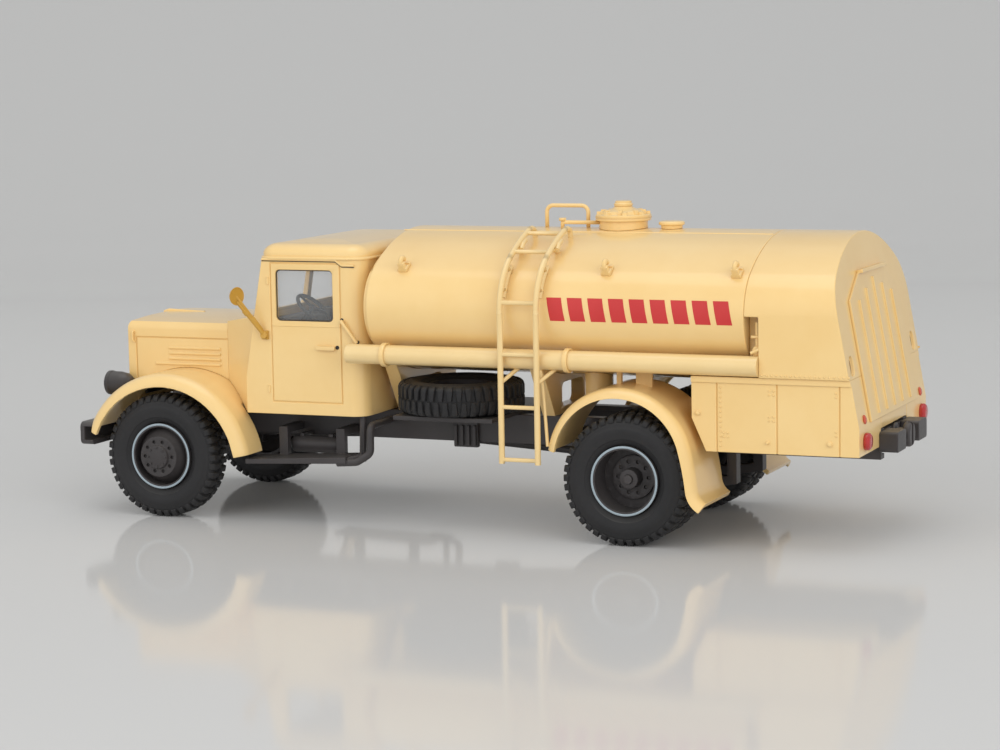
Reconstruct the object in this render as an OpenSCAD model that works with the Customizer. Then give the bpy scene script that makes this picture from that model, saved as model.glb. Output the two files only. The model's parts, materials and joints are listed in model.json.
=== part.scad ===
// Bonneted fuel-service tanker truck, a collector's scale model at 1:43.
// Millimetres. +X forward, +Y left, +Z up. The ground is z = 0.
// Inside the modules x is counted from the rear axle.

/* [Overall] */
// Distance between the two axles
wheelbase = 105; // [95:0.5:115]
// Front face of the bumper ahead of the front axle
nose_reach = 19; // [18:0.1:22]
// Length of the rear buffers behind the cabinet's foot
buffer_l = 3.75; // [3:0.05:5]

/* [Wheels] */
// Tyre radius out to the lug tips
tyre_r = 13; // [12:0.05:14]
// Tyre section width
tyre_w = 6.8; // [6:0.1:7.4]
// Bead radius, where tyre and rim meet
bead_r = 7; // [6.5:0.1:7.5]
// Height of the tread lugs
lug_h = 0.7; // [0.5:0.05:0.8]
// Number of tread lugs round each shoulder
lug_count = 42; // [30:1:48]
// Front tyre centre off the middle plane
front_tyre_y = 23.2; // [22.5:0.1:24]
// Outer rear tyre centre off the middle plane
rear_tyre_y = 25.6; // [25:0.1:26.5]
// Distance between the centres of twin tyres
twin_pitch = 7.6; // [7.4:0.1:8.2]
// Radius of the axle pins
pin_r = 0.9; // [0.7:0.05:1.1]
// Radial clearance of a wheel on its pin
run_gap = 0.05; // [0.03:0.01:0.08]

/* [Frame] */
// Outer face of a frame rail off the middle plane
rail_y = 10; // [9:0.1:10.6]
// Underside of the frame rails above the axles
rail_lift = 3.5; // [3:0.1:4]
// Height of the frame rails
rail_h = 6; // [5.5:0.1:6.5]
// Width of the rail flanges
rail_w = 2.6; // [2:0.1:3]
// Radius of the two display-base screw holes
screw_r = 1.2; // [0.8:0.1:1.4]
// Rear display-base screw behind the rear axle
screw_back = 25; // [23:0.5:27]
// Front display-base screw ahead of the front axle
screw_ahead = 8; // [7:0.1:9]

/* [Cab] */
// Half width of the cab
cab_y = 22.5; // [21:0.1:23.5]
// Length of the cab from its rear wall to the windscreen's foot
cab_l = 25.2; // [23:0.1:27]
// Height of the roof gutter above the frame
cab_h = 32.3; // [30:0.1:35]
// Height of the windscreen's foot above the frame
belt_h = 20.3; // [19:0.1:22]
// Height of the roof above the gutter
roof_h = 3.7; // [3:0.1:4.5]
// Wall thickness of cab and hood
wall = 1.2; // [1:0.1:1.4]
// Length of the cowl between windscreen and hood
cowl_l = 10.4; // [9:0.1:12]
// Length of the hood
hood_l = 24.4; // [22:0.1:27]
// Front of the hood ahead of the front axle
hood_ahead = 13.6; // [12.5:0.1:14.5]
// Half width of the hood
hood_y = 15; // [14.5:0.1:16]
// Height of the hood's top above the frame
hood_h = 18.5; // [17:0.1:20]

/* [Fenders] */
// Room between the front tyre and its fender's outer face
front_fender_room = 6.9; // [6:0.1:8]
// Room between the rear tyre and its fender's outer face
rear_fender_room = 2.05; // [1.8:0.05:2.6]
// How far a fender reaches beyond the tyre's outer face
fender_cover = 1.3; // [1:0.1:1.6]
// Sheet thickness of the fenders
sheet = 1; // [0.8:0.1:1.1]

/* [Tank] */
// Half width of the oval tank
tank_a = 26.8; // [25:0.1:28]
// Half height of the oval tank
tank_b = 15; // [14:0.1:16]
// Radius of the tank's flanks
tank_flank = 10; // [8:0.5:11]
// Rear end of the tank behind the rear axle
tank_back = 24; // [22:0.1:26]
// Gap between the cab and the tank
cab_gap = 1.6; // [1:0.1:3]
// Radius of the hose tubes
tube_r = 2; // [1.6:0.1:2.3]
// Middle of the manhole ahead of the rear axle
manhole_x = 10; // [8:0.1:11]
// Radius of the manhole's neck
neck_r = 5; // [4:0.1:5.6]
// Height of the manhole's neck above the tank
neck_h = 2.2; // [1.8:0.1:3]
// Height of the hoop rail above the tank
hoop_h = 4.5; // [3.5:0.1:6]

/* [Ladder] */
// Distance between the ladder's rails
ladder_w = 7.7; // [7:0.1:9]
// Distance between the lower rungs
rung_pitch = 10.5; // [9:0.1:11]
// Distance of the ladder's rails from the tank
rail_ladder = 2.4; // [2:0.1:3]

/* [Rear cabinet] */
// Length of the cabinet behind the tank
cabinet_l = 22.45; // [21:0.05:24]
// Forward lean of the rear face, in degrees
lean = 10.5; // [9:0.5:12]
// Height of the side boxes' floor above the rails' underside
box_lift = 2.7; // [2.2:0.1:3]
// Half width over the side boxes
box_y = 25.8; // [25:0.1:26.4]

/* [Hidden] */
seat_gap = 0.03;
axle_z = tyre_r;
rail_z = axle_z + rail_lift;
rail_top = rail_z + rail_h;
rail_in = rail_y - rail_w;
bore_r = pin_r + run_gap;
rim_r = bead_r - seat_gap;
twin_y = rear_tyre_y - twin_pitch / 2;

// Places along the truck
nose_x = wheelbase + nose_reach;
bumper_t = 3;
hood_front = wheelbase + hood_ahead;
hood_rear = hood_front - hood_l;
screen_foot = hood_rear - cowl_l;
screen_head = screen_foot - 2.1;
cab_rear = screen_foot - cab_l;
tank_front = cab_rear - cab_gap;
tank_rear = -tank_back;
cabinet_front = tank_rear - 2.85;
lean_x = tank_rear - cabinet_l;
tail_x = lean_x - buffer_l;
mid_x = (nose_x + tail_x) / 2;

// Front fender: middle and radii in the side view
front_fender_x = wheelbase - 1.3;
front_fender_z = axle_z - 2.35;
front_fender_r = tyre_r + front_fender_room;
front_fender_y = front_tyre_y + tyre_w / 2 + fender_cover;
front_fender_in = hood_y - 2.5;
fender_round = 2.6;

// Rear fender: middle and radii in the side view
rear_fender_x = 1.1;
rear_fender_z = axle_z + 3.3;
rear_fender_r = tyre_r + rear_fender_room;
rear_fender_y = rear_tyre_y + tyre_w / 2 + fender_cover;
rear_fender_in = rear_tyre_y - twin_pitch - tyre_w / 2 - 1.6;
rear_fender_back = rear_fender_x - rear_fender_r;

// Heights of the cab
belt_z = rail_top + belt_h;
gutter_z = rail_top + cab_h;
hood_z = rail_top + hood_h;
roof_round = roof_h - 0.3;
corner_r = 3.4;

// Spare wheel and tank: the tank clears the spare wheel and the rear fenders
saddle_front = tank_front - 1.6;
saddle_t = 1.4;
spare_x = saddle_front - 1.7 - tyre_r;
spare_y = 14;
carrier_t = 0.9;
spare_z = rail_top + carrier_t + tyre_w / 2;
tank_low = max(rear_fender_z + rear_fender_r - 0.95, spare_z + tyre_w / 2 + 0.2);
tank_z = tank_low + tank_b;
tank_top = tank_z + tank_b;
tank_big = (pow(tank_a - tank_flank, 2) + tank_b * tank_b - tank_flank * tank_flank)
    / (2 * (tank_b - tank_flank));
tank_angle = acos((tank_a - tank_flank) / (tank_big - tank_flank));

// Boxes, tubes and ladder hang on the tank's sizes
box_top = tank_low + 3.5;
box_floor = rail_z + box_lift;
box_front = rear_fender_back + 0.9;
cabinet_y = tank_a - 0.2;
lean_z = box_floor + 5.4;
tube_y = max(tank_a - 0.6, cab_y + tube_r + 1.7);
tube_z = box_top + tube_r + 0.2;
ladder_off = max(rail_ladder, tube_y + tube_r + 1 - tank_a);
ladder_y = tank_a + ladder_off;
ladder_x = spare_x - tyre_r - 9.9;
big_r = tank_big + ladder_off;
big_z = tank_top - tank_big;
$fn = 64;

// Helpers

// Moves a piece drawn from the rear axle into the shared frame
module on_truck() translate([-mid_x, 0, 0]) children();

// Draws a right-hand piece as it is (-1) or mirrored to the left (1)
module to_side(s) mirror([0, s > 0 ? 1 : 0, 0]) children();

// Sweeps an outline in (x, z) from y0 to y1
module along_y(y0, y1) translate([0, y1, 0]) rotate([90, 0, 0]) linear_extrude(y1 - y0) children();

// Sweeps an outline in (y, z) from x0 to x1
module along_x(x0, x1) translate([x0, 0, 0]) rotate([90, 0, 90]) linear_extrude(x1 - x0) children();

// A block between two corners
module block(from, to) translate(from) cube([for (i = [0:2]) to[i] - from[i]]);

// A round bar between two points
module bar(from, to, r) {
  d = to - from;
  translate(from) rotate([0, acos(d[2] / norm(d)), atan2(d[1], d[0])]) cylinder(r = r, h = norm(d), $fn = 24);
}

// A rectangle whose upper corners are round
module round_top(x0, x1, y0, y1, r) intersection() {
  translate([x0, y0]) square([x1 - x0, y1 - y0]);
  union() {
    translate([x0, y0]) square([x1 - x0, y1 - r - y0]);
    translate([x0 + r, y0]) square([x1 - x0 - 2 * r, y1 - y0]);
    for (x = [x0 + r, x1 - r]) translate([x, y1 - r]) circle(r);
  }
}

// A rectangle with four round corners
module round_rect(x0, x1, y0, y1, r) {
  translate([x0, y0 + r]) square([x1 - x0, y1 - y0 - 2 * r]);
  translate([x0 + r, y0]) square([x1 - x0 - 2 * r, y1 - y0]);
  for (x = [x0 + r, x1 - r], y = [y0 + r, y1 - r]) translate([x, y]) circle(r);
}

// A narrow groove along the edge of a rectangle
groove = 0.26;
module outline_groove(x0, x1, y0, y1) difference() {
  translate([x0, y0]) square([x1 - x0, y1 - y0]);
  translate([x0 + groove, y0 + groove]) square([x1 - x0 - 2 * groove, y1 - y0 - 2 * groove]);
}

// The tank's oval in (y, z), drawn as four arcs and grown by g
module tank_oval(g = 0) translate([0, tank_z]) {
  turn = (tank_a - tank_flank) * (tank_big + g) / (tank_big - tank_flank);
  intersection() {
    translate([0, tank_b - tank_big]) circle(tank_big + g, $fn = 180);
    translate([0, tank_big - tank_b]) circle(tank_big + g, $fn = 180);
    square([2 * turn, 6 * tank_b], center = true);
  }
  for (s = [-1, 1]) intersection() {
    translate([s * (tank_a - tank_flank), 0]) circle(tank_flank + g, $fn = 96);
    translate([s * (turn + tank_a), 0]) square([2 * tank_a, 6 * tank_b], center = true);
  }
}

// The room that the tank takes, with the seat gap round it
module tank_room() along_x(tank_rear - 10, tank_front + 10) tank_oval(seat_gap);

// Height of the front fender's outer face at x
function front_fender_at(x) = front_fender_z + sqrt(pow(front_fender_r, 2) - pow(x - front_fender_x, 2));

// What lies under the front fender's outer face, in (x, z)
module front_fender_under() translate([front_fender_x, front_fender_z])
  circle(front_fender_r + seat_gap, $fn = 128);

// Everything behind the leaning rear face
module behind_rear() translate([lean_x, 0, lean_z]) rotate([0, lean, 0])
  translate([-40, -50, 0]) cube([40, 100, 80]);

// A place on the leaning rear face: x is out of the face, z runs up it
module on_rear() translate([lean_x, 0, lean_z]) rotate([0, lean, 0]) children();

// A half section of a fender's shell: radius against distance off the middle plane
module fender_section(r, lip, y0, y1) difference() {
  round_quarter(r, lip, y0, y1, fender_round);
  translate([0, y0 - 1]) round_quarter(r - sheet, 0, 0, y1 - sheet - y0 + 1, fender_round - sheet);
}
module round_quarter(r, low, y0, y1, c) {
  translate([low, y0]) square([r - low, y1 - c - y0]);
  translate([low, y0]) square([r - c - low, y1 - y0]);
  intersection() {
    translate([r - c, y1 - c]) circle(c, $fn = 48);
    translate([low, y0]) square([r - low, y1 - y0]);
  }
}

// A piece of a ring about a right-hand fender's centre, from angle a0 to a1 in (x, z)
module swept(x, z, a0, a1) translate([x, 0, z]) rotate([90, 0, 0]) rotate([0, 0, a0])
  rotate_extrude(angle = a1 - a0, $fn = 128) children();

// The same section carried straight on from angle a over a length, started back inside the ring
module carried(x, z, a, length, back) translate([x, 0, z]) rotate([90, 0, 0]) rotate([0, 0, a])
  translate([0, length, 0]) rotate([90, 0, 0]) linear_extrude(length + back) children();

// Frame and running gear

module frame_rails() color("#1c1c1e") on_truck() for (s = [-1, 1]) to_side(s) difference() {
  block([lean_x, -rail_y, rail_z], [nose_x - bumper_t, -rail_in, rail_top]);
  block([lean_x - 1, -rail_y + 1, rail_z + 1], [nose_x, 0, rail_top - 1]);
}

// Columns: middle of the member along x, its length, whether a screw boss hangs on it
member_table = [[lean_x + 2.6, 5, 0], [-screw_back, 5, 1], [spare_x - 12.5, 3, 0], [cab_rear - 0.6, 3, 0],
  [wheelbase + screw_ahead, 5, 1]];
member_low = rail_z + 1.5;
member_top = rail_top - 0.5;
boss_h = 2.5;
module frame_crossmembers() color("#1c1c1e") on_truck() for (m = member_table) difference() {
  union() {
    block([m[0] - m[1] / 2, -rail_in, member_low], [m[0] + m[1] / 2, rail_in, member_top]);
    if (m[2] == 1) translate([m[0], 0, rail_z - 1]) cylinder(r = screw_r + 1.2, h = boss_h + 1);
  }
  if (m[2] == 1) translate([m[0], 0, rail_z - 2]) cylinder(r = screw_r, h = boss_h + 3.5);
}

module front_bumper() color("#1c1c1e") on_truck() difference() {
  along_x(nose_x - bumper_t, nose_x) round_rect(-27, 27, rail_z - 1.7, rail_z + 3.2, 1.2);
  along_x(nose_x - bumper_t - 1, nose_x - 1) round_rect(-30, 30, rail_z - 0.7, rail_z + 2.2, 0.6);
}

module rear_buffers() color("#1c1c1e") on_truck() for (s = [-1, 1]) to_side(s)
  along_x(tail_x, lean_x) round_rect(-11.5, -5, rail_z + 1.7, rail_z + 5.7, 0.6);

// Tow hook on the rear member
hook_z = rail_z + 3.8;
module tow_hook() color("#1c1c1e") on_truck() translate([lean_x, 0, hook_z]) rotate([0, -90, 0]) difference() {
  rotate_extrude() polygon([[0, 0], [2.2, 0], [2.2, 0.5], [1.3, 0.8], [1.3, 1.9], [2.1, 2.1], [2.5, 2.5],
    [2.5, buffer_l - 0.3], [2.2, buffer_l], [0, buffer_l]]);
  translate([-3, -0.6, 2.7]) cube([6, 1.2, buffer_l]);
}

module stub_pins(y0, y1) for (s = [-1, 1]) to_side(s) translate([0, -y0, axle_z]) rotate([90, 0, 0])
  cylinder(r = pin_r, h = y1 - y0, $fn = 48);

knuckle_y = front_tyre_y - 3.8;
module front_axle() color("#1c1c1e") on_truck() translate([wheelbase, 0, 0]) {
  block([-1.3, -knuckle_y + 2.4, axle_z - 3.2], [1.3, knuckle_y - 2.4, axle_z - 0.8]);
  for (s = [-1, 1]) to_side(s)
    block([-1.5, -knuckle_y, axle_z - 3.2], [1.5, -knuckle_y + 2.4, axle_z + 2.4]);
  stub_pins(knuckle_y - 1.4, front_tyre_y + 2.5);
}

axle_tube_r = 1.9;
axle_half = rear_tyre_y - twin_pitch - 4;
module rear_axle() color("#1c1c1e") on_truck() {
  translate([0, 0, axle_z]) rotate([90, 0, 0]) cylinder(r = axle_tube_r, h = 2 * axle_half, center = true);
  translate([0, 0, axle_z]) rotate([0, 90, 0]) rotate_extrude()
    polygon([[0, -3.4], [2.2, -3.2], [4, -1.8], [4.4, 0], [3.6, 1.8], [1.6, 3.2], [1.6, 3.8], [0, 3.8]]);
  stub_pins(axle_half - 1, rear_tyre_y + 1.1);
}

// A leaf spring: axle along x, underside of its middle, half length, thickness, leaf radius, inner and outer y
module leaf_spring(x, z, half, t, r, y0, y1) translate([x, 0, 0]) along_y(y0, y1) intersection() {
  translate([0, z + r]) difference() {
    circle(r, $fn = 240);
    circle(r - t, $fn = 240);
  }
  translate([-half, z - 1]) square([2 * half, 8]);
}

// Springs: half length, thickness, leaf radius
front_leaf = [13, 1.2, 55];
rear_leaf = [17, 1.8, 90];
module front_springs() color("#1c1c1e") on_truck() for (s = [-1, 1]) to_side(s) translate([wheelbase, 0, 0]) {
  leaf_spring(0, axle_z - 0.2, front_leaf[0], front_leaf[1], front_leaf[2], -rail_y, -rail_in);
  for (x = [-1, 1]) translate([x * (front_leaf[0] - 0.8), 0, 0])
    block([-0.8, -rail_y, axle_z + 1.8], [0.8, -rail_in, rail_z]);
  block([-1.3, -rail_y, axle_z - 0.8], [1.3, -rail_in, axle_z]);
}

rear_leaf_z = axle_z - axle_tube_r - 0.6 - rear_leaf[1];
module rear_springs() color("#1c1c1e") on_truck() for (s = [-1, 1]) to_side(s) {
  leaf_spring(0, rear_leaf_z, rear_leaf[0], rear_leaf[1], rear_leaf[2], -rail_y, -rail_in);
  for (x = [-1, 1]) translate([x * (rear_leaf[0] - 1), 0, 0])
    block([-1, -rail_y, rear_leaf_z + 2], [1, -rail_in, rail_z]);
  difference() {
    block([-2, -rail_y, rear_leaf_z + 1], [2, -rail_in, axle_z - 0.2]);
    translate([0, 0, axle_z]) rotate([90, 0, 0]) cylinder(r = axle_tube_r + seat_gap, h = 60, center = true);
  }
}

// Engine under the hood with its gearbox behind
engine_rear = hood_rear - 6.2;
gear_z = axle_z + 4.5;
gear_l = 12;
module engine_block() color("#1c1c1e") on_truck() {
  block([engine_rear, -6, rail_z - 1.1], [hood_front - 9.6, 6, hood_z - 7]);
  block([engine_rear + 4, -rail_in, member_low], [engine_rear + 7, rail_in, member_low + 2]);
  translate([engine_rear, 0, gear_z]) rotate([0, -90, 0]) cylinder(r = 3.2, h = gear_l);
}

module propeller_shaft() color("#1c1c1e") on_truck() difference() {
  bar([engine_rear - gear_l, 0, gear_z], [3.6, 0, axle_z], 0.9);
  block([engine_rear - gear_l - seat_gap, -5, gear_z - 5], [engine_rear, 5, gear_z + 5]);
  block([0, -5, axle_z - 5], [3.8 + seat_gap, 5, axle_z + 5]);
}

// Air tank: a drum along the left rail, hung on two straps
drum_r = 1.8;
drum_y = rail_y + 4;
drum_z = rail_z - 1.4;
drum_l = 12;
drum_x = cab_rear + 9.4;
module air_tank() color("#1c1c1e") on_truck() {
  translate([drum_x, drum_y, drum_z]) rotate([0, 90, 0]) rotate_extrude() polygon([[0, 0], [1.1, 0.15],
    [drum_r - 0.2, 0.6], [drum_r, 1.1], [drum_r, drum_l - 1.1], [drum_r - 0.2, drum_l - 0.6],
    [1.1, drum_l - 0.15], [0, drum_l]]);
  for (x = [2.6, drum_l - 2.6]) block([drum_x + x - 0.5, rail_y, rail_z + 0.1],
    [drum_x + x + 0.5, drum_y + 0.6, rail_z + 0.9]);
  for (x = [2.6, drum_l - 2.6]) block([drum_x + x - 0.5, drum_y - 0.6, drum_z],
    [drum_x + x + 0.5, drum_y + 0.6, rail_z + 0.5]);
}

// Cab

// Outline of the cab box from above, set in by g
module cab_plan(g) {
  r = corner_r - g;
  y = cab_y - g;
  translate([cab_rear + g, -y + r]) square([cab_l + 15, 2 * (y - r)]);
  translate([cab_rear + g + r, -y]) square([cab_l + 15 - r, 2 * y]);
  for (s = [-1, 1]) translate([cab_rear + g + r, s * (y - r)]) circle(r);
}

// Outline of the cab box from the side, set in by g
dash_lean = 2.2;
module cab_profile(g) polygon([[cab_rear + g, rail_top - g * 9], [screen_foot + dash_lean - g, rail_top - g * 9],
  [screen_foot + dash_lean - g, rail_top + 7.5], [screen_foot - g, belt_z], [screen_head - g, gutter_z + g],
  [cab_rear + g, gutter_z + g]]);

// Outline of the cowl from above, set in by g and then carried ahead along its own taper
cowl_taper = (cab_y - hood_y) / (hood_rear - screen_foot - 0.2);
module cowl_plan(g) polygon([[screen_foot - 4, cab_y - g], [screen_foot + 0.2, cab_y - g],
  [hood_rear + g * 4, hood_y - g - cowl_taper * g * 4], [hood_rear + g * 4, g + cowl_taper * g * 4 - hood_y],
  [screen_foot + 0.2, g - cab_y], [screen_foot - 4, g - cab_y]]);

module cab_box(g) intersection() {
  linear_extrude(100) cab_plan(g);
  along_y(-cab_y - 8, cab_y + 8) cab_profile(g);
}
module cowl_box(g) intersection() {
  linear_extrude(100) cowl_plan(g);
  along_y(-cab_y - 8, cab_y + 8) polygon([[screen_foot - 3, rail_top - g * 9],
    [hood_rear + g * 4, rail_top - g * 9], [hood_rear + g * 4, hood_z - g - 0.2], [screen_foot, belt_z - g], [screen_foot - 3, belt_z - g]]);
}

// Windows: side window and door edges along x, sills and heads
side_window = [cab_rear + 6.9, screen_foot - 5.2];
door = [cab_rear + 5, screen_foot - 4];
module cab_body() color("#f0d096") on_truck() difference() {
  union() {
    cab_box(0);
    cowl_box(0);
  }
  cab_box(wall);
  cowl_box(wall);
  along_y(-cab_y - 8, cab_y + 8) front_fender_under();
  along_y(-cab_y - 8, cab_y + 8)
    round_rect(side_window[0], side_window[1], belt_z - 0.8, gutter_z - 2.2, 0.9);
  for (s = [-1, 1]) to_side(s) {
    along_x(screen_head - 4, screen_foot + 6) round_rect(-cab_y + 2.9, -0.9, belt_z + 1, gutter_z - 1.6, 1.2);
    along_y(-cab_y - 1, -cab_y + 0.3) outline_groove(door[0], door[1], rail_top + 2.5, gutter_z - 0.7);
  }
  along_x(cab_rear - 2, cab_rear + 3.4) round_rect(-11, 11, belt_z + 1.7, gutter_z - 2.8, 1.2);
}

// The roof's dome over the gutter, set in by g
roof_front = screen_head + 0.9;
module roof_dome(g) intersection() {
  along_y(-cab_y - 2, cab_y + 2)
    round_top(cab_rear + g, roof_front - g, gutter_z - g, gutter_z + roof_h - g, roof_round - g);
  along_x(cab_rear - 2, roof_front + 2) intersection() {
    round_top(-cab_y + g, cab_y - g, gutter_z - g, gutter_z + roof_h - g, roof_round - g);
    translate([0, gutter_z + roof_h - 190 - g]) circle(190, $fn = 360);
  }
  linear_extrude(100) round_rect(cab_rear + g, roof_front - g, -cab_y + g, cab_y - g, corner_r - g);
}
gutter_out = 0.35;
module cab_roof() color("#f0d096") on_truck() difference() {
  union() {
    roof_dome(0);
    translate([0, 0, gutter_z]) linear_extrude(0.5)
      round_rect(cab_rear, roof_front + gutter_out, -cab_y - gutter_out, cab_y + gutter_out, corner_r);
  }
  roof_dome(wall);
}

glass_t = 0.6;
module cab_glass() color("#9fb4b8") on_truck() {
  for (s = [-1, 1]) to_side(s) block([side_window[0] - 0.8, wall - cab_y, belt_z - 1.6],
    [side_window[1] + 0.8, wall - cab_y + glass_t, gutter_z - 1.5]);
  block([cab_rear + wall, -11.8, belt_z + 0.9], [cab_rear + wall + glass_t, 11.8, gutter_z - 2]);
  screen_slope = (screen_foot - screen_head) / (gutter_z + wall - belt_z);
  along_y(-cab_y + 2.2, cab_y - 2.2) polygon([for (p = [[0, 0.4], [0, 10.6], [-glass_t, 10.6], [-glass_t, 0.4]])
    let (z = p[1] * (cab_h - belt_h) / 12) [screen_foot - wall + p[0] - z * screen_slope, belt_z + z]]);
}

floor_t = 1;
module cab_floor() color("#2a2a2c") on_truck() intersection() {
  translate([0, 0, rail_top]) linear_extrude(floor_t) cab_plan(wall + seat_gap);
  block([cab_rear, -50, 0], [front_fender_x - front_fender_r - 0.2, 50, 90]);
}

module bench_seat() color("#3a3230") on_truck() translate([cab_rear + 2.4, 0, rail_top + floor_t])
  along_y(-cab_y + 3.5, cab_y - 3.5) {
    round_top(0, 11, 0, 8, 1.2);
    round_top(0, 2.6, 0, belt_h - 1.3, 1.2);
  }

dash_x = screen_foot - 5.4;
module dashboard() color("#2a2a2c") on_truck() along_y(wall - cab_y + 0.9, cab_y - wall - 0.9)
  polygon([[dash_x, belt_z - 4.8], [screen_foot - wall - 0.4, belt_z - 4.8],
    [screen_foot - wall - 0.4, belt_z - 0.8], [dash_x + 1.2, belt_z - 0.8], [dash_x, belt_z - 1.6]]);

module steering_wheel() color("#2a2a2c") on_truck() {
  hub = [screen_foot - 7.8, 10.5, belt_z + 0.6];
  difference() {
    bar(hub, hub + [3.6, 0, -4], 0.6);
    block([dash_x, 5, belt_z - 9], [dash_x + 9, 16, belt_z + 1]);
  }
  translate(hub) rotate([0, -42, 0]) {
    rotate_extrude($fn = 48) translate([4, 0]) circle(0.4, $fn = 20);
    for (a = [0, 120, 240]) rotate([0, 0, a]) bar([0, 0, 0], [4, 0, 0], 0.3);
    cylinder(r = 0.9, h = 0.8, center = true);
  }
}

// The hood's outer form, set in by g
hood_low = front_fender_at(hood_front) - 3;
module hood_shape(g) intersection() {
  along_x(hood_rear - g * 2, hood_front - g) intersection() {
    round_top(g - hood_y, hood_y - g, hood_low, hood_z - g, 2.5 - g);
    translate([0, hood_z - g - 130]) circle(130, $fn = 360);
  }
  along_y(-hood_y - 5, hood_y + 5) round_top(hood_rear - 12, hood_front - g, hood_low - 1, hood_z - g, 2.2 - g);
}

// Louvres on the hood's sides: pitch, width, height above the side
louvre = [1.15, 0.5, 0.35];
mouth_y = 9.6;
module hood() color("#f0d096") on_truck() {
  difference() {
    hood_shape(0);
    hood_shape(wall);
    along_y(-hood_y - 8, hood_y + 8) front_fender_under();
    block([hood_front - 4, -mouth_y, 0], [hood_front + 4, mouth_y, hood_z - 3]);
    for (s = [-1, 1]) to_side(s) {
      block([hood_front - 2.2, -hood_y - 1, 0], [hood_front - 2.2 + groove, -hood_y + 0.3, hood_z - 4.3]);
      block([hood_rear - 1, -hood_y - 1, hood_z - 4.3], [hood_front - 2, -hood_y + 0.3, hood_z - 4.3 + groove]);
    }
  }
  for (s = [-1, 1], i = [0:3]) to_side(s) translate([hood_rear, 0, hood_z - 6 - i * louvre[0]])
    block([1.8, -hood_y - louvre[2], -louvre[1]], [i == 3 ? hood_l - 6.8 : hood_l - 10.1, -hood_y + 0.4, 0]);
}

grille_bars = 8;
module radiator_grille() color("#f0d096") on_truck() {
  difference() {
    along_x(hood_front, hood_front + 1) round_rect(-mouth_y - 1.8, mouth_y + 1.8, rail_top, hood_z - 1.5, 1);
    block([hood_front - 1, -mouth_y, rail_top + 1.5], [hood_front + 2, mouth_y, hood_z - 3]);
  }
  pitch = 2 * mouth_y / grille_bars;
  for (i = [0:grille_bars - 1]) translate([hood_front + 0.1, (i + 0.5) * pitch - mouth_y, rail_top + 1])
    translate([0, -0.45, 0]) cube([0.8, 0.9, hood_h - 3.5]);
}

// Fenders, lamps and fittings of the cab

// Front fender: start and end of its sweep in degrees
front_sweep = [22, 170];
front_lip = 2.7;
fender_stay_z = front_fender_at(hood_front + 1.7) - sheet;
module front_fender(s) on_truck() to_side(s) {
  difference() {
    swept(front_fender_x, front_fender_z, front_sweep[0], front_sweep[1])
      fender_section(front_fender_r, front_fender_r - front_lip, front_fender_in, front_fender_y);
    block([nose_x - bumper_t - 0.05, -60, 0], [nose_x + 20, 0, 60]);
    block([front_fender_x - front_fender_r - 5, -cab_y + 2.8, 0], [screen_foot + 5.2, 1, rail_top + 20]);
  }
  block([hood_front + 1.1, -front_fender_in - 1, fender_stay_z - 0.8],
    [hood_front + 2.3, -rail_y, fender_stay_z + 0.8]);
}
module front_fender_left() color("#f0d096") front_fender(1);
module front_fender_right() color("#f0d096") front_fender(-1);

// Headlights on short stalks: place of the bowl's middle, bowl radius
lamp_x = hood_front - 0.2;
lamp_y = hood_y + 2.5;
lamp_r = 2.6;
lamp_l = 3.6;
lamp_z = front_fender_at(lamp_x) + lamp_r + 0.4;
module headlights() color("#1c1c1e") on_truck() for (s = [-1, 1]) to_side(s) difference() {
  translate([lamp_x, -lamp_y, lamp_z]) {
    rotate([0, 90, 0]) rotate_extrude() polygon([[0, -2.2], [0.5 * lamp_r, -2], [0.8 * lamp_r, -1],
      [lamp_r - 0.15, 0.7], [lamp_r - 0.15, lamp_l - 0.9], [lamp_r, lamp_l - 0.9], [lamp_r, lamp_l], [0, lamp_l]]);
    translate([0, 0, -lamp_r - 3]) cylinder(r = 0.9, h = lamp_r + 2);
  }
  along_y(-lamp_y - 20, 0) front_fender_under();
}

module headlight_lenses() color("#dfe6e6") on_truck() for (s = [-1, 1]) to_side(s)
  translate([lamp_x + lamp_l, -lamp_y, lamp_z]) rotate([0, 90, 0]) rotate_extrude()
    polygon([[0, 0], [lamp_r - 0.3, 0], [lamp_r - 0.3, 0.15], [1.5, 0.5], [0, 0.6]]);

// Cab steps: a tread under each door, two hangers and a bent stay behind
step_y = cab_y + 1.5;
step_in = step_y - 7.5;
step_x = [cab_rear + 4.1, screen_foot + 2.2];
step_z = axle_z - 0.1;
step_t = 1;
stay_r = 0.7;
module cab_steps() color("#1c1c1e") on_truck() for (s = [-1, 1]) to_side(s) {
  along_y(-step_y, -step_in) polygon([[step_x[0], step_z], [step_x[1], step_z - 1],
    [step_x[1], step_z - 1 + step_t], [step_x[0], step_z + step_t + 0.3]]);
  for (x = [step_x[0] + 3, step_x[1] - 7]) {
    block([x, -step_in - 1.5, step_z], [x + 2, -step_in, rail_z + 2.7]);
    block([x, -step_in - 1.5, rail_z + 1.2], [x + 2, -rail_y, rail_z + 2.7]);
  }
  stay = [[step_x[0] + 0.8, 0.9 - step_y, step_z + 0.6], [step_x[0] - 2.4, 3.4 - step_y, step_z + 1.1],
    [step_x[0] - 2.4, 3.9 - step_y, rail_top - 0.05]];
  bar(stay[0], stay[1], stay_r - 0.12);
  bar(stay[1] - [0, 0, 1], stay[2], stay_r);
}

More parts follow.
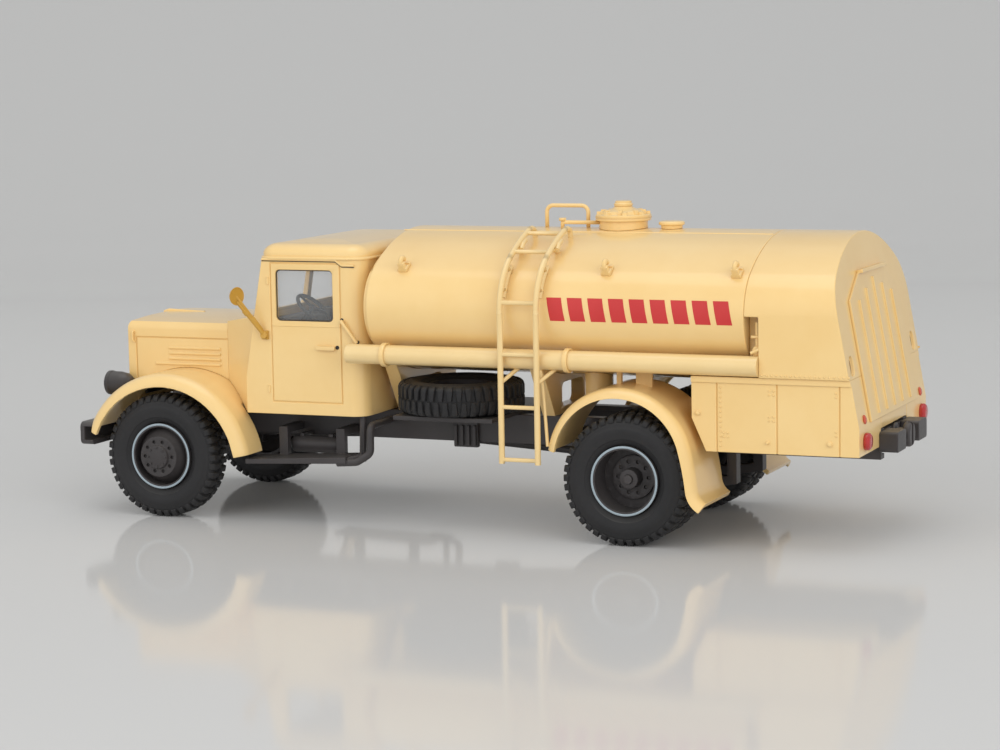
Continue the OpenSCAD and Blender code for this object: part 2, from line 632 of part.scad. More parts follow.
// Mirrors on arms from the door posts: foot, head and the disc's half section
mirror_r = 1.93;
module mirrors() color("#b98f3c") on_truck() for (s = [-1, 1]) to_side(s) {
  foot = [screen_foot - 2.7, -cab_y - 0.3, belt_z - 3.8];
  head = [screen_foot + 1.9, -cab_y - 3.9, belt_z + 4.5];
  block(foot - [0.7, 0.3, 0.9], foot + [0.7, 0.3, 0.9]);
  bar(foot, head, 0.32);
  bar(foot + (head - foot) * 0.12, foot + (head - foot) * 0.45, 0.45);
  translate(head) rotate([0, 0, 21]) rotate([0, -90, 0]) rotate_extrude()
    polygon([[0, -0.6], [0.6 * mirror_r, -0.5], [0.92 * mirror_r, -0.1], [mirror_r, 0.3], [mirror_r - 0.2, 0.3],
      [mirror_r - 0.3, 0.15], [0, 0.15]]);
}

// Door handles and the slanted grab bars behind the doors
module cab_handles() color("#f0d096") on_truck() difference() {
  for (s = [-1, 1]) to_side(s) {
    block([door[0] + 1.3, -cab_y - 0.9, belt_z - 6.6], [door[0] + 5.6, -cab_y - 0.4, belt_z - 5.8]);
    block([door[0] + 1.5, -cab_y - 0.6, belt_z - 6.6], [door[0] + 2.5, -cab_y + 0.5, belt_z - 5.8]);
    a = [door[0] - 0.5, -cab_y - 0.9, belt_z - 0.6];
    b = [door[0] - 3.5, -cab_y - 0.6, belt_z - 4.7];
    bar(a + (a - b) * 0.07, b + (b - a) * 0.07, 0.36);
    for (p = [a, b]) bar(p, [p[0], -cab_y + 2, p[2]], 0.27);
  }
  linear_extrude(100) cab_plan(-seat_gap);
}

// Tank and its fittings

head_in = 1.1;
module tank() color("#f0d096") on_truck() {
  along_x(tank_rear, tank_front - head_in) tank_oval();
  along_x(tank_front - head_in - 0.5, tank_front) tank_oval(-head_in);
}

// Saddles: place along x, half width at the top
saddle_table = [[saddle_front, 19], [spare_x - tyre_r - 4.7, 19], [rear_fender_back + 3.9, rear_fender_in - 1]];
module tank_saddles() color("#f0d096") on_truck() for (m = saddle_table) difference() {
  along_x(m[0] - saddle_t, m[0] + saddle_t) polygon([[-rail_y, rail_top], [rail_y, rail_top],
    [m[1], tank_z - 9], [-m[1], tank_z - 9]]);
  tank_room();
  along_x(m[0] - saddle_t - 1, m[0] + saddle_t + 1) round_rect(-6, 6, rail_top + 1.5, tank_low - 1.5, 1.5);
}

// Lifting hooks high on the tank's flanks
lug_places = [tank_front - 8.1, 5.1, tank_rear + 2.4];
hook_up = 36;
module tank_lugs() color("#f0d096") on_truck() for (x = lug_places, s = [-1, 1]) to_side(s) difference() {
  translate([x, tank_flank - tank_a, tank_z]) rotate([hook_up, 0, 0]) translate([0, 0, tank_flank - 0.5])
    difference() {
      union() {
        block([-1, -1.3, 0], [1, 1.3, 1.3]);
        block([-0.7, -1.3, 1], [0.7, -0.4, 2.6]);
      }
      translate([-2, 0.1, 0.9]) cube([4, 0.5, 2]);
    }
  tank_room();
}

// Sump under the tank beside the second saddle
sump_x = spare_x - tyre_r - 15;
module tank_sump() color("#f0d096") on_truck() difference() {
  translate([sump_x, rail_in + 0.6, tank_low - 4.2]) rotate_extrude()
    polygon([[0, 0], [1.6, 0], [1.6, 0.8], [2.9, 0.8], [2.9, 9], [0, 9]]);
  tank_room();
}

neck_top = tank_top + neck_h;
flange_r = neck_r + 0.7;
module manhole_neck() color("#f0d096") on_truck() difference() {
  union() {
    translate([manhole_x, 0, tank_top - 3]) cylinder(r = neck_r, h = neck_h + 3, $fn = 96);
    translate([manhole_x, 0, neck_top - 0.6]) cylinder(r = flange_r, h = 0.6, $fn = 96);
  }
  tank_room();
}

// Lid with a domed middle, a knob and clamps round the edge
clamp_count = 8;
module manhole_lid() color("#f0d096") on_truck() translate([manhole_x, 0, neck_top]) {
  rotate_extrude($fn = 96) polygon([[0, 0], [flange_r, 0], [flange_r, 0.6], [neck_r - 0.5, 0.7],
    [neck_r - 0.8, 1.3], [2.2, 1.9], [1.6, 2.4], [1.6, 3.1], [1.2, 3.4], [0, 3.4]]);
  for (i = [0:clamp_count - 1]) rotate([0, 0, (i + 0.5) * 360 / clamp_count])
    block([neck_r - 1.4, -0.45, 0.3], [flange_r - 0.25, 0.45, 1.25]);
}

filler_x = manhole_x - neck_r - 5.4;
module filler_cap() color("#f0d096") on_truck() difference() {
  translate([filler_x, 0, tank_top - 2]) rotate_extrude() polygon([[0, 0], [2.2, 0], [2.2, 2.7], [2.65, 2.8],
    [2.65, 3.3], [2.3, 3.55], [0, 3.6]]);
  tank_room();
}

pipe_r = 0.4;
pipe_y = 2.2;
pipe_z = tank_top + 1.2;
pipe_x = manhole_x + neck_r + 7.5;
module breather_pipe() color("#f0d096") on_truck() difference() {
  union() {
    bar([manhole_x + 2, pipe_y, pipe_z], [pipe_x, pipe_y, pipe_z], pipe_r);
    bar([pipe_x, pipe_y, pipe_z], [pipe_x, pipe_y, tank_top - 2.5], pipe_r);
    translate([pipe_x, pipe_y, pipe_z]) sphere(r = pipe_r, $fn = 24);
    translate([pipe_x, pipe_y, pipe_z + 0.3]) cylinder(r = 0.75, h = 0.6);
  }
  translate([manhole_x, 0, tank_top - 10]) cylinder(r = neck_r + seat_gap, h = 20, $fn = 96);
  tank_room();
}

// Hoop rail: its two feet along x, bend radius, tube radius
hoop_x = [ladder_x + ladder_w + 1.3, ladder_x - 0.1];
hoop_bend = 1.4;
hoop_r = 0.42;
module hoop_rail() color("#f0d096") on_truck() difference() {
  union() {
    for (i = [0, 1]) {
      translate([hoop_x[i], 0, tank_top - 2]) cylinder(r = hoop_r, h = hoop_h - hoop_bend + 2, $fn = 24);
      translate([hoop_x[i] + (i == 0 ? -1 : 1) * hoop_bend, 0, tank_top + hoop_h - hoop_bend]) rotate([90, 0, 0])
        rotate([0, 0, i == 0 ? 0 : 90]) rotate_extrude(angle = 90, $fn = 64)
          translate([hoop_bend, 0]) circle(hoop_r, $fn = 24);
    }
    translate([hoop_x[1] + hoop_bend, 0, tank_top + hoop_h]) rotate([0, 90, 0])
      cylinder(r = hoop_r, h = hoop_x[0] - hoop_x[1] - 2 * hoop_bend, $fn = 24);
  }
  tank_room();
}

// Hose tubes, open at the front
tube_end = tank_front + 3.4;
module hose_tubes() color("#f4e2bb") on_truck() for (s = [-1, 1]) to_side(s) difference() {
  translate([cabinet_front, -tube_y, tube_z]) rotate([0, 90, 0]) cylinder(r = tube_r, h = tube_end - cabinet_front);
  translate([tube_end - 4, -tube_y, tube_z]) rotate([0, 90, 0]) cylinder(r = tube_r - 0.4, h = 8);
}

// Tube clamps: place along x. Each is a band round the tube with a stay to the tank.
clamp_places = [tank_front - 5, manhole_x + 2.3];
band_w = 1;
module tube_brackets() color("#f0d096") on_truck() for (x = clamp_places, s = [-1, 1]) to_side(s) difference() {
  union() {
    along_x(x - band_w / 2, x + band_w / 2) translate([-tube_y, tube_z]) circle(tube_r + 0.45);
    along_x(x - band_w / 2, x + band_w / 2)
      translate([-tube_y, tube_z - 1.4]) square([tube_y - tank_a + tank_flank, 2.8]);
  }
  translate([x - 5, -tube_y, tube_z]) rotate([0, 90, 0]) cylinder(r = tube_r + seat_gap, h = 10);
  tank_room();
}

// Ladder on the left: rails along x, then y and z of each rung's middle
ladder_rails = [ladder_x + ladder_w, ladder_x];
ladder_foot = rail_z - 1;
ladder_rungs = [for (i = [0:2]) [ladder_y, ladder_foot + 0.8 + i * rung_pitch],
  [tank_a - tank_flank + (tank_flank + ladder_off) * cos(10), tank_z + (tank_flank + ladder_off) * sin(10)],
  for (a = [30, 20]) [big_r * sin(a), big_z + big_r * cos(a)]];
module ladder_rail(x) translate([x, 0, 0]) {
  translate([0, ladder_y, ladder_foot]) cylinder(r = 0.6, h = tank_z - ladder_foot, $fn = 24);
  translate([0, tank_a - tank_flank, tank_z]) rotate([90, 0, 90])
    rotate_extrude(angle = tank_angle, $fn = 96) translate([tank_flank + ladder_off, 0]) circle(0.58, $fn = 24);
  translate([0, 0, big_z]) rotate([90, 0, 90]) rotate([0, 0, tank_angle])
    rotate_extrude(angle = 73 - tank_angle, $fn = 180) translate([big_r, 0]) circle(0.56, $fn = 24);
}
module ladder() color("#f0d096") on_truck() difference() {
  union() {
    for (x = ladder_rails) {
      ladder_rail(x);
      for (a = [24, 48]) translate([x, tank_a - tank_flank, tank_z]) rotate([a, 0, 0])
        translate([0, tank_flank - 0.5, 0]) rotate([-90, 0, 0]) cylinder(r = 0.45, h = ladder_off + 0.5, $fn = 24);
    }
    for (r = ladder_rungs) bar([ladder_rails[1], r[0], r[1]], [ladder_rails[0], r[0], r[1]], 0.42);
  }
  tank_room();
}

// Rear cabinet, boxes and lamps

module cabinet_outline() {
  intersection() {
    tank_oval();
    translate([-40, tank_z]) square([80, 40]);
  }
  translate([-cabinet_y, box_top]) square([2 * cabinet_y, tank_z - box_top]);
}

// Oval hand holes in the rear face: y, height up the face, half height, radius
hand_hole = [cabinet_y - 3.6, box_top + 2.6 - lean_z, 1.1, 1.3];
module rear_cabinet() color("#f0d096") on_truck() difference() {
  union() {
    difference() {
      along_x(lean_x, tank_rear) cabinet_outline();
      block([cabinet_front, -40, 0], [tank_rear + 1, 40, tank_z + 0.2]);
    }
    block([lean_x, -rail_y + 0.05, rail_top + 0.1], [lean_x + 6, rail_y - 0.05, box_top]);
    block([cabinet_front - 1, 3.5 - cabinet_y, box_top + 0.1], [tank_rear, cabinet_y - 3.5, tank_z + 1]);
  }
  behind_rear();
  for (s = [-1, 1]) to_side(s) on_rear() along_x(-2, 0.7)
    round_rect(-hand_hole[0] - hand_hole[3], -hand_hole[0] + hand_hole[3],
      hand_hole[1] - hand_hole[2] - hand_hole[3] * 0.6, hand_hole[1] + hand_hole[2] + hand_hole[3] * 0.6, 1.25);
}

// Rear shutter: half width, heights up the leaning face of its side and top edges, half width of the top
shutter = [18, 24, 29, 8.4];
slat_pitch = 6;
module rear_shutter() color("#f0d096") on_truck() on_rear() translate([-0.5, 0, 0]) {
  along_x(0, 0.5) polygon([[-shutter[0], 0.4], [shutter[0], 0.4], [shutter[0], shutter[1]],
    [shutter[3], shutter[2]], [-shutter[3], shutter[2]], [-shutter[0], shutter[1]]]);
  for (i = [-2:2])
    block([-0.4, i * slat_pitch - 0.5, 1.4], [0.1, i * slat_pitch + 0.5, shutter[2] - 1.8 - abs(i) * 1.8]);
  block([-0.9, -shutter[3] - 0.6, shutter[2] - 0.5], [0.5, shutter[3] + 0.6, shutter[2] + 0.2]);
}

// Side boxes: seams between their doors, counted back from the box's front
box_seams = [5.3, 17.35, 29.7];
module side_boxes() color("#f0d096") on_truck() for (s = [-1, 1]) to_side(s) difference() {
  union() {
    along_y(-box_y, -rail_y) polygon([[box_front, box_top], [box_front, box_floor + 6.5],
      [box_front - 2.9, box_floor], [lean_x, box_floor], [lean_x, box_top]]);
    block([lean_x, -box_y - 0.4, box_top - 1.2], [box_front, -box_y + 1, box_top]);
  }
  for (x = box_seams) block([box_front - x, -box_y - 1, box_floor - 1],
    [box_front - x + groove, -box_y + 0.3, box_top - 1.2]);
  tank_room();
  behind_rear();
}

// Rear fender: sweep in degrees, straight tail behind it, then the mud flap
rear_sweep = [8.7, 164];
rear_lip = 1.95;
tail_l = 7.3;
tail_end = [rear_fender_x + rear_fender_r * cos(rear_sweep[1]) - tail_l * sin(rear_sweep[1]),
  rear_fender_z + rear_fender_r * sin(rear_sweep[1]) + tail_l * cos(rear_sweep[1])];
module rear_fender(s) on_truck() to_side(s) {
  swept(rear_fender_x, rear_fender_z, rear_sweep[0], rear_sweep[1])
    fender_section(rear_fender_r, rear_fender_r - rear_lip, rear_fender_in, rear_fender_y);
  carried(rear_fender_x, rear_fender_z, rear_sweep[1], tail_l, 0.4)
    fender_section(rear_fender_r - 0.05, rear_fender_r - rear_lip + 0.05, rear_fender_in + 0.05,
      rear_fender_y - 0.05);
  along_y(-rear_fender_y + 0.6, -rear_fender_in) polygon([[tail_end[0] + 0.1, tail_end[1] + 0.6],
    [tail_end[0] - 0.4, tail_end[1] - tail_l * 0.66], [tail_end[0] + 0.3, tail_end[1] - tail_l * 0.66],
    [tail_end[0] + 0.9, tail_end[1] + 0.6]]);
  for (a = [rear_sweep[0] + 8, rear_sweep[1] - 8])
    translate([rear_fender_x + (rear_fender_r - 0.5) * cos(a), 0, rear_fender_z + (rear_fender_r - 0.5) * sin(a)])
      block([-0.45, -rear_fender_in - 1, -0.9], [0.45, -rail_y, 0.9]);
}
module rear_fender_left() color("#f0d096") rear_fender(1);
module rear_fender_right() color("#f0d096") rear_fender(-1);

module tail_lights() color("#a01218") on_truck() for (s = [-1, 1]) to_side(s)
  translate([lean_x, 4.3 - box_y, box_floor + 2.6]) rotate([0, -90, 0]) rotate_extrude()
    polygon([[0, 0], [1.7, 0], [1.7, 0.8], [1.3, 1.2], [0, 1.3]]);

module reflectors() color("#c83c1e") on_truck() for (s = [-1, 1]) to_side(s) on_rear()
  translate([0, 4.4 - box_y, 1.4]) rotate([0, -90, 0]) rotate_extrude()
    polygon([[0, 0], [0.9, 0], [0.9, 0.2], [0.5, 0.4], [0, 0.4]]);

module drain_valve() color("#f0d096") on_truck() translate([cabinet_front, cabinet_y - 1.6, box_top + 4.6]) {
  block([0, -0.8, 0], [1.6, 0.8, 6]);
  translate([0.8, 0, 4.5]) rotate([-90, 0, 0]) cylinder(r = 0.4, h = 2.4, $fn = 24);
  translate([0.8, 2.4, 4.5]) rotate([-90, 0, 0]) cylinder(r = 1.1, h = 0.4, $fn = 32);
}

// Wheels

// Half section of a tyre's carcass: radius against distance from the tyre's middle
tread_r = tyre_r - lug_h;
module tyre_section() polygon([[bead_r, -0.36 * tyre_w], [bead_r + 1.8, -0.48 * tyre_w], [bead_r + 3, -tyre_w / 2],
  [tread_r - 0.8, -tyre_w / 2], [tread_r, -0.4 * tyre_w], [tread_r, 0.4 * tyre_w], [tread_r - 0.8, tyre_w / 2],
  [bead_r + 3, tyre_w / 2], [bead_r + 1.8, 0.48 * tyre_w], [bead_r, 0.36 * tyre_w]]);

// One toothed ring of lugs, turned by a share of the pitch
module lug_ring(turn) difference() {
  circle(tyre_r, $fn = 128);
  circle(tread_r - 0.7, $fn = 128);
  gap = 0.32 * 2 * PI * tyre_r / lug_count;
  for (i = [0:lug_count - 1]) rotate((i + turn) * 360 / lug_count)
    translate([tyre_r - 0.85 * lug_h, -gap / 2]) square([2, gap]);
}
module tyre() {
  rotate_extrude($fn = 96) tyre_section();
  translate([0, 0, 0.05 * tyre_w]) linear_extrude(0.39 * tyre_w) lug_ring(0);
  translate([0, 0, -0.44 * tyre_w]) linear_extrude(0.39 * tyre_w) lug_ring(0.5);
}

// Half section of a rim's barrel between its two flanges
flange_half = 3;
module barrel_section() polygon([[rim_r - 0.8, -flange_half], [rim_r, -flange_half], [rim_r, flange_half],
  [rim_r - 0.8, flange_half]]);

// Bolt holes: count, circle radius, hole radius
bolts = [10, 3.2, 0.38];
module bolt_holes(z, depth) for (i = [0:bolts[0] - 1]) rotate([0, 0, i * 360 / bolts[0]])
  translate([bolts[1], 0, z]) cylinder(r = bolts[2], h = depth, $fn = 24);

// Front rim: a bulged disc with a bolted hub flange and a closed cap, columns radius and height
hub_r = 2.6;
front_disc = [[bore_r, -3], [2, -3], [2, 1.4], [3.4, 2.2], [rim_r - 0.6, -0.6], [rim_r - 0.6, 0.3],
  [4.6, 3], [4.25, 3.9], [hub_r, 3.9], [hub_r - 0.2, 4.6], [0, 4.8], [0, 3], [bore_r, 3]];
module front_rim() difference() {
  rotate_extrude($fn = 96) {
    barrel_section();
    polygon(front_disc);
  }
  bolt_holes(3.3, 3);
}

// Twin rims, drawn from the plane where the two discs meet
disc_t = 0.8;
module twin_rims() difference() {
  rotate_extrude($fn = 96) {
    for (s = [-1, 1]) translate([0, s * twin_pitch / 2]) barrel_section();
    translate([bore_r, -disc_t]) square([rim_r - 0.4 - bore_r, 2 * disc_t]);
    polygon([[bore_r, -4.6], [3.4, -4.6], [3.4, 0], [4.4, 0], [4.4, 1.5], [2, 1.5], [1.9, 4.2], [bore_r, 4.4]]);
  }
  bolt_holes(1, 3);
}

// Puts a wheel drawn about +Z on its axle, with +Z outwards
module on_axle(x, y, s) on_truck() translate([x, s * y, axle_z]) rotate([-s * 90, 0, 0]) children();

module front_left_tyre() color("#2b2b2b") on_axle(wheelbase, front_tyre_y, 1) tyre();
module front_right_tyre() color("#2b2b2b") on_axle(wheelbase, front_tyre_y, -1) tyre();
module front_left_rim() color("#1c1c1e") on_axle(wheelbase, front_tyre_y, 1) front_rim();
module front_right_rim() color("#1c1c1e") on_axle(wheelbase, front_tyre_y, -1) front_rim();
module twin_tyres() for (s = [-1, 1]) translate([0, 0, s * twin_pitch / 2]) tyre();
module rear_left_tyres() color("#2b2b2b") on_axle(0, twin_y, 1) twin_tyres();
module rear_right_tyres() color("#2b2b2b") on_axle(0, twin_y, -1) twin_tyres();
module rear_left_rims() color("#1c1c1e") on_axle(0, twin_y, 1) twin_rims();
module rear_right_rims() color("#1c1c1e") on_axle(0, twin_y, -1) twin_rims();

module spare_carrier() color("#1c1c1e") on_truck()
  block([spare_x - 11, -rail_y, rail_top], [spare_x + 11, spare_y + 10, rail_top + carrier_t]);
module spare_tyre() color("#2b2b2b") on_truck() translate([spare_x, spare_y, spare_z]) tyre();
module spare_rim() color("#1c1c1e") on_truck() translate([spare_x, spare_y, spare_z]) difference() {
  rotate_extrude($fn = 96) {
    polygon([[rim_r - 0.8, -tyre_w / 2], [rim_r, -tyre_w / 2], [rim_r, 2.4], [rim_r - 0.8, 2.4]]);
    translate([2, -0.4]) square([rim_r - 2.4, 0.8]);
  }
  bolt_holes(-1, 3);
}

frame_rails();
frame_crossmembers();
front_bumper();
rear_buffers();
tow_hook();
front_axle();
front_springs();
rear_axle();
rear_springs();
engine_block();
propeller_shaft();
air_tank();
cab_body();
cab_roof();
cab_glass();
cab_floor();
bench_seat();
dashboard();
steering_wheel();
hood();
radiator_grille();
front_fender_left();
front_fender_right();
headlights();
headlight_lenses();
cab_steps();
mirrors();
cab_handles();
tank();
tank_saddles();
tank_lugs();
tank_sump();
manhole_neck();
manhole_lid();
filler_cap();
breather_pipe();
hoop_rail();
hose_tubes();
tube_brackets();
ladder();
rear_cabinet();
rear_shutter();
side_boxes();
rear_fender_left();
rear_fender_right();
tail_lights();
reflectors();
drain_valve();
spare_carrier();
spare_tyre();
spare_rim();
front_left_tyre();
front_left_rim();
front_right_tyre();
front_right_rim();
rear_left_tyres();
rear_left_rims();
rear_right_tyres();
rear_right_rims();
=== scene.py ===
import json
import math
import bpy
import bmesh
from mathutils import Matrix, Vector


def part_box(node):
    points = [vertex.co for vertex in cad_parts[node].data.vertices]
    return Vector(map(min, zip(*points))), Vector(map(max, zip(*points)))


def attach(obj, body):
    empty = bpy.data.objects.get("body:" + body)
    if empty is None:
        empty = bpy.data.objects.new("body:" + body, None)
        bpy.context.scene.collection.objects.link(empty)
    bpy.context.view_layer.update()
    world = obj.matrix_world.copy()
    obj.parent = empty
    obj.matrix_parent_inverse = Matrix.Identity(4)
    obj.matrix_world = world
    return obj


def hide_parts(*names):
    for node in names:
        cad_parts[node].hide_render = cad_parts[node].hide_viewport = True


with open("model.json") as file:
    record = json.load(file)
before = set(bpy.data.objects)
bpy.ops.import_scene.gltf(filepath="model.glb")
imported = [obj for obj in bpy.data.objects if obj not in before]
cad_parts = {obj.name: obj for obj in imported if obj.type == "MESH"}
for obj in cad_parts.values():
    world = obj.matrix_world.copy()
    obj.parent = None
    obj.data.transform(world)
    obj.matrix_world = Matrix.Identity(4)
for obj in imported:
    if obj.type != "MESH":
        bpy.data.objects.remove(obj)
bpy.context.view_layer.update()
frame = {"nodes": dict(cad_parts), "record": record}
mm = 0.001
nodeBody = {node: body for body, nodes in frame["record"]["behaviour"]["bodies"].items() for node in nodes}
nodeSlot = {part["node"]: part["material_slot"] for part in frame["record"]["subparts"]}
bothSides = (1, -1)  # left, right
print("frame loaded:", len(frame["nodes"]), "nodes")


def boxMid(node):
    low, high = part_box(node)
    return (low + high) / 2


rearAxle = boxMid("rear_left_tyres").x  # everything along the truck is counted from the rear axle


def boxMm(node):  # a node's box in mm, x ahead of the rear axle
    return [(corner - Vector((rearAxle, 0, 0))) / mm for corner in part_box(node)]


def spot(x, y, z, side=1):  # a place in mm, x ahead of the rear axle, y out to one side
    return Vector((rearAxle + x * mm, y * side * mm, z * mm))


def linear(red, green, blue):  # screen colour 0..255 to the linear values that sockets take
    def one(value):
        value /= 255
        return value / 12.92 if value <= 0.04045 else ((value + 0.055) / 1.055) ** 2.4
    return (one(red), one(green), one(blue), 1.0)


# node tree helpers

def setSockets(tree, node, sockets):
    for key, value in sockets.items():
        if isinstance(value, bpy.types.NodeSocket):
            tree.links.new(value, node.inputs[key])
        else:
            node.inputs[key].default_value = value


def addNode(tree, kind, sockets=None, **values):
    node = tree.nodes.new(kind)
    for key, value in values.items():
        setattr(node, key, value)
    setSockets(tree, node, sockets or {})
    return node


def newGroup(name, inputs, outputs):
    tree = bpy.data.node_groups.new(name, "ShaderNodeTree")
    for label, kind, value in inputs:
        socket = tree.interface.new_socket(label, in_out="INPUT", socket_type=kind)
        socket.default_value = value
    for label, kind in outputs:
        tree.interface.new_socket(label, in_out="OUTPUT", socket_type=kind)
    return tree, tree.nodes.new("NodeGroupInput"), tree.nodes.new("NodeGroupOutput")


def noiseNode(tree, scale, detail, **values):
    place = addNode(tree, "ShaderNodeTexCoord").outputs["Object"]
    return addNode(tree, "ShaderNodeTexNoise", {"Vector": place, "Scale": scale, "Detail": detail, **values})


def mathNode(tree, operation, first, second, **values):
    return addNode(tree, "ShaderNodeMath", {0: first, 1: second}, operation=operation, **values).outputs[0]


def mottleGroup():  # slow tone drift and fine speckle of sprayed paint or moulded plastic
    tree, inn, out = newGroup("paintMottle", [
        ("Colour", "NodeSocketColor", (1, 1, 1, 1)), ("Deep", "NodeSocketColor", (1, 1, 1, 1)),
        ("Drift", "NodeSocketFloat", 40.0), ("Grain", "NodeSocketFloat", 900.0),
        ("Rough", "NodeSocketFloat", 0.4), ("Spread", "NodeSocketFloat", 0.1)],
        [("Colour", "NodeSocketColor"), ("Rough", "NodeSocketFloat"), ("Height", "NodeSocketFloat")])
    drift = noiseNode(tree, inn.outputs["Drift"], 4.0, Roughness=0.6)
    grain = noiseNode(tree, inn.outputs["Grain"], 3.0)
    tone = addNode(tree, "ShaderNodeMapRange", {"Value": drift.outputs["Fac"], "From Min": 0.35, "From Max": 0.7})
    mix = addNode(tree, "ShaderNodeMix", {"Factor": tone.outputs["Result"], "A": inn.outputs["Colour"],
                                          "B": inn.outputs["Deep"]}, data_type="RGBA")
    offset = mathNode(tree, "SUBTRACT", grain.outputs["Fac"], 0.5)
    scaled = mathNode(tree, "MULTIPLY", offset, inn.outputs["Spread"])
    setSockets(tree, out, {"Colour": mix.outputs["Result"], "Height": grain.outputs["Fac"],
                           "Rough": mathNode(tree, "ADD", inn.outputs["Rough"], scaled)})
    return tree


def dustGroup():  # a thin veil of dust on what faces up, broken by noise
    tree, inn, out = newGroup("dustVeil", [("Amount", "NodeSocketFloat", 0.1), ("Scale", "NodeSocketFloat", 120.0)],
                              [("Mask", "NodeSocketFloat")])
    facing = addNode(tree, "ShaderNodeSeparateXYZ", {0: addNode(tree, "ShaderNodeNewGeometry").outputs["Normal"]})
    noise = noiseNode(tree, inn.outputs["Scale"], 6.0)
    upward = addNode(tree, "ShaderNodeMapRange", {"Value": facing.outputs["Z"], "From Min": 0.2, "From Max": 1.0})
    broken = mathNode(tree, "MULTIPLY", upward.outputs["Result"], noise.outputs["Fac"])
    setSockets(tree, out, {"Mask": mathNode(tree, "MULTIPLY", broken, inn.outputs["Amount"], use_clamp=True)})
    return tree


mottleTree = mottleGroup()
dustTree = dustGroup()

# finishes: screen colours, gloss and the size of their grain
finishes = {
    "creamPaint": dict(colour=(242, 207, 141), deep=(238, 200, 131), rough=0.33, spread=0.06, grain=1200, bump=0.01,
                       coat=0.7, dust=0.04),
    "tubeCream": dict(colour=(238, 208, 149), deep=(233, 201, 139), rough=0.34, spread=0.06, grain=1200, bump=0.01,
                      coat=0.6, dust=0.04),
    # painted shade: a darker copy of the cream paint, given to parts and lines that sit in shade
    "paintedShadeCream": dict(colour=(226, 190, 128), deep=(214, 178, 118), rough=0.5, spread=0.1, grain=1400, bump=0.03,
                       dust=0.06),
    # painted shade: brown that stands in for the shade inside the hand holes
    "recessShadeBrown": dict(colour=(158, 120, 70), deep=(140, 104, 58), rough=0.5, spread=0.1, grain=1400, bump=0.03),
    "chassisBlack": dict(colour=(66, 62, 62), deep=(54, 51, 51), rough=0.4, spread=0.16, grain=1900, bump=0.08,
                         dust=0.12),
    "rubber": dict(colour=(39, 38, 39), deep=(31, 31, 32), rough=0.56, spread=0.2, grain=1500, bump=0.16, dust=0.1),
    "wheelBlack": dict(colour=(63, 59, 59), deep=(51, 48, 48), rough=0.4, spread=0.14, grain=1700, bump=0.06,
                       dust=0.08),
    "ringSilver": dict(colour=(172, 186, 194), deep=(156, 170, 178), rough=0.42, spread=0.1, grain=1800, bump=0.04,
                       metal=0.35),
    "mirrorOchre": dict(colour=(201, 154, 62), deep=(186, 139, 50), rough=0.38, spread=0.12, grain=1500, bump=0.05,
                        coat=0.2, dust=0.05),
    "seatBrown": dict(colour=(58, 47, 44), deep=(42, 34, 32), rough=0.6, spread=0.2, grain=1300, bump=0.2, dust=0.1),
    "cabDark": dict(colour=(48, 47, 49), deep=(36, 36, 38), rough=0.55, spread=0.2, grain=1300, bump=0.12, dust=0.1),
    "lensRed": dict(colour=(186, 42, 40), deep=(164, 28, 30), rough=0.18, spread=0.06, grain=1200, bump=0.04,
                    coat=0.6),
    "lensOrange": dict(colour=(206, 84, 48), deep=(186, 66, 38), rough=0.2, spread=0.06, grain=1200, bump=0.04,
                       coat=0.5),
    "markRed": dict(colour=(204, 58, 56), deep=(194, 46, 46), rough=0.4, spread=0.1, grain=1500, bump=0.03, coat=0.1,
                    dust=0.04),
}
paintLook = dict(dustColour=(196, 190, 178), drift=55.0, relief=0.0001, coatRough=0.13)
glasses = {
    "clearGlass": dict(tint=(226, 230, 232), rough=0.05, alpha=0.1),
    "lampGlass": dict(tint=(240, 242, 240), rough=0.08, alpha=0.4),
}


def newMaterial(name):
    material = bpy.data.materials.new(name)
    material.use_nodes = True
    return material, material.node_tree, material.node_tree.nodes["Principled BSDF"]


def paintMaterial(name, colour, deep, rough, spread, grain, bump, coat=0.0, dust=0.0, metal=0.0):
    material, tree, shader = newMaterial(name)
    tone = addNode(tree, "ShaderNodeGroup", node_tree=mottleTree)
    setSockets(tree, tone, {"Colour": linear(*colour), "Deep": linear(*deep), "Drift": paintLook["drift"],
                            "Grain": float(grain), "Rough": rough, "Spread": spread})
    veil = addNode(tree, "ShaderNodeGroup", node_tree=dustTree)
    setSockets(tree, veil, {"Amount": dust})
    mix = addNode(tree, "ShaderNodeMix", {"Factor": veil.outputs["Mask"], "A": tone.outputs["Colour"],
                                          "B": linear(*paintLook["dustColour"])}, data_type="RGBA")
    relief = addNode(tree, "ShaderNodeBump", {"Height": tone.outputs["Height"], "Strength": bump,
                                              "Distance": paintLook["relief"]})
    setSockets(tree, shader, {
        "Normal": relief.outputs["Normal"], "Base Color": mix.outputs["Result"], "Roughness": tone.outputs["Rough"],
        "Metallic": metal, "Coat Weight": coat, "Coat Roughness": paintLook["coatRough"]})
    return material


def glassMaterial(name, tint, rough, alpha):  # thin clear moulding with a trace of haze
    material, tree, shader = newMaterial(name)
    haze = noiseNode(tree, 180.0, 5.0)
    band = addNode(tree, "ShaderNodeMapRange", {"Value": haze.outputs["Fac"], "From Min": 0.3, "From Max": 0.8,
                                                "To Min": rough, "To Max": rough + 0.08})
    setSockets(tree, shader, {"Roughness": band.outputs["Result"], "Base Color": linear(*tint), "Alpha": alpha,
                              "IOR": 1.45})
    return material


materials = {name: paintMaterial(name, **look) for name, look in finishes.items()}
materials.update({name: glassMaterial(name, **look) for name, look in glasses.items()})
print("materials ready:", len(materials))


# piece helpers

def newPiece(name, mesh, material, body, slotName, replaced=()):
    piece = bpy.data.objects.new(name, mesh)
    bpy.context.scene.collection.objects.link(piece)
    mesh.materials.clear()
    mesh.materials.append(materials[material])
    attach(piece, body)
    if replaced:
        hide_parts(*replaced)


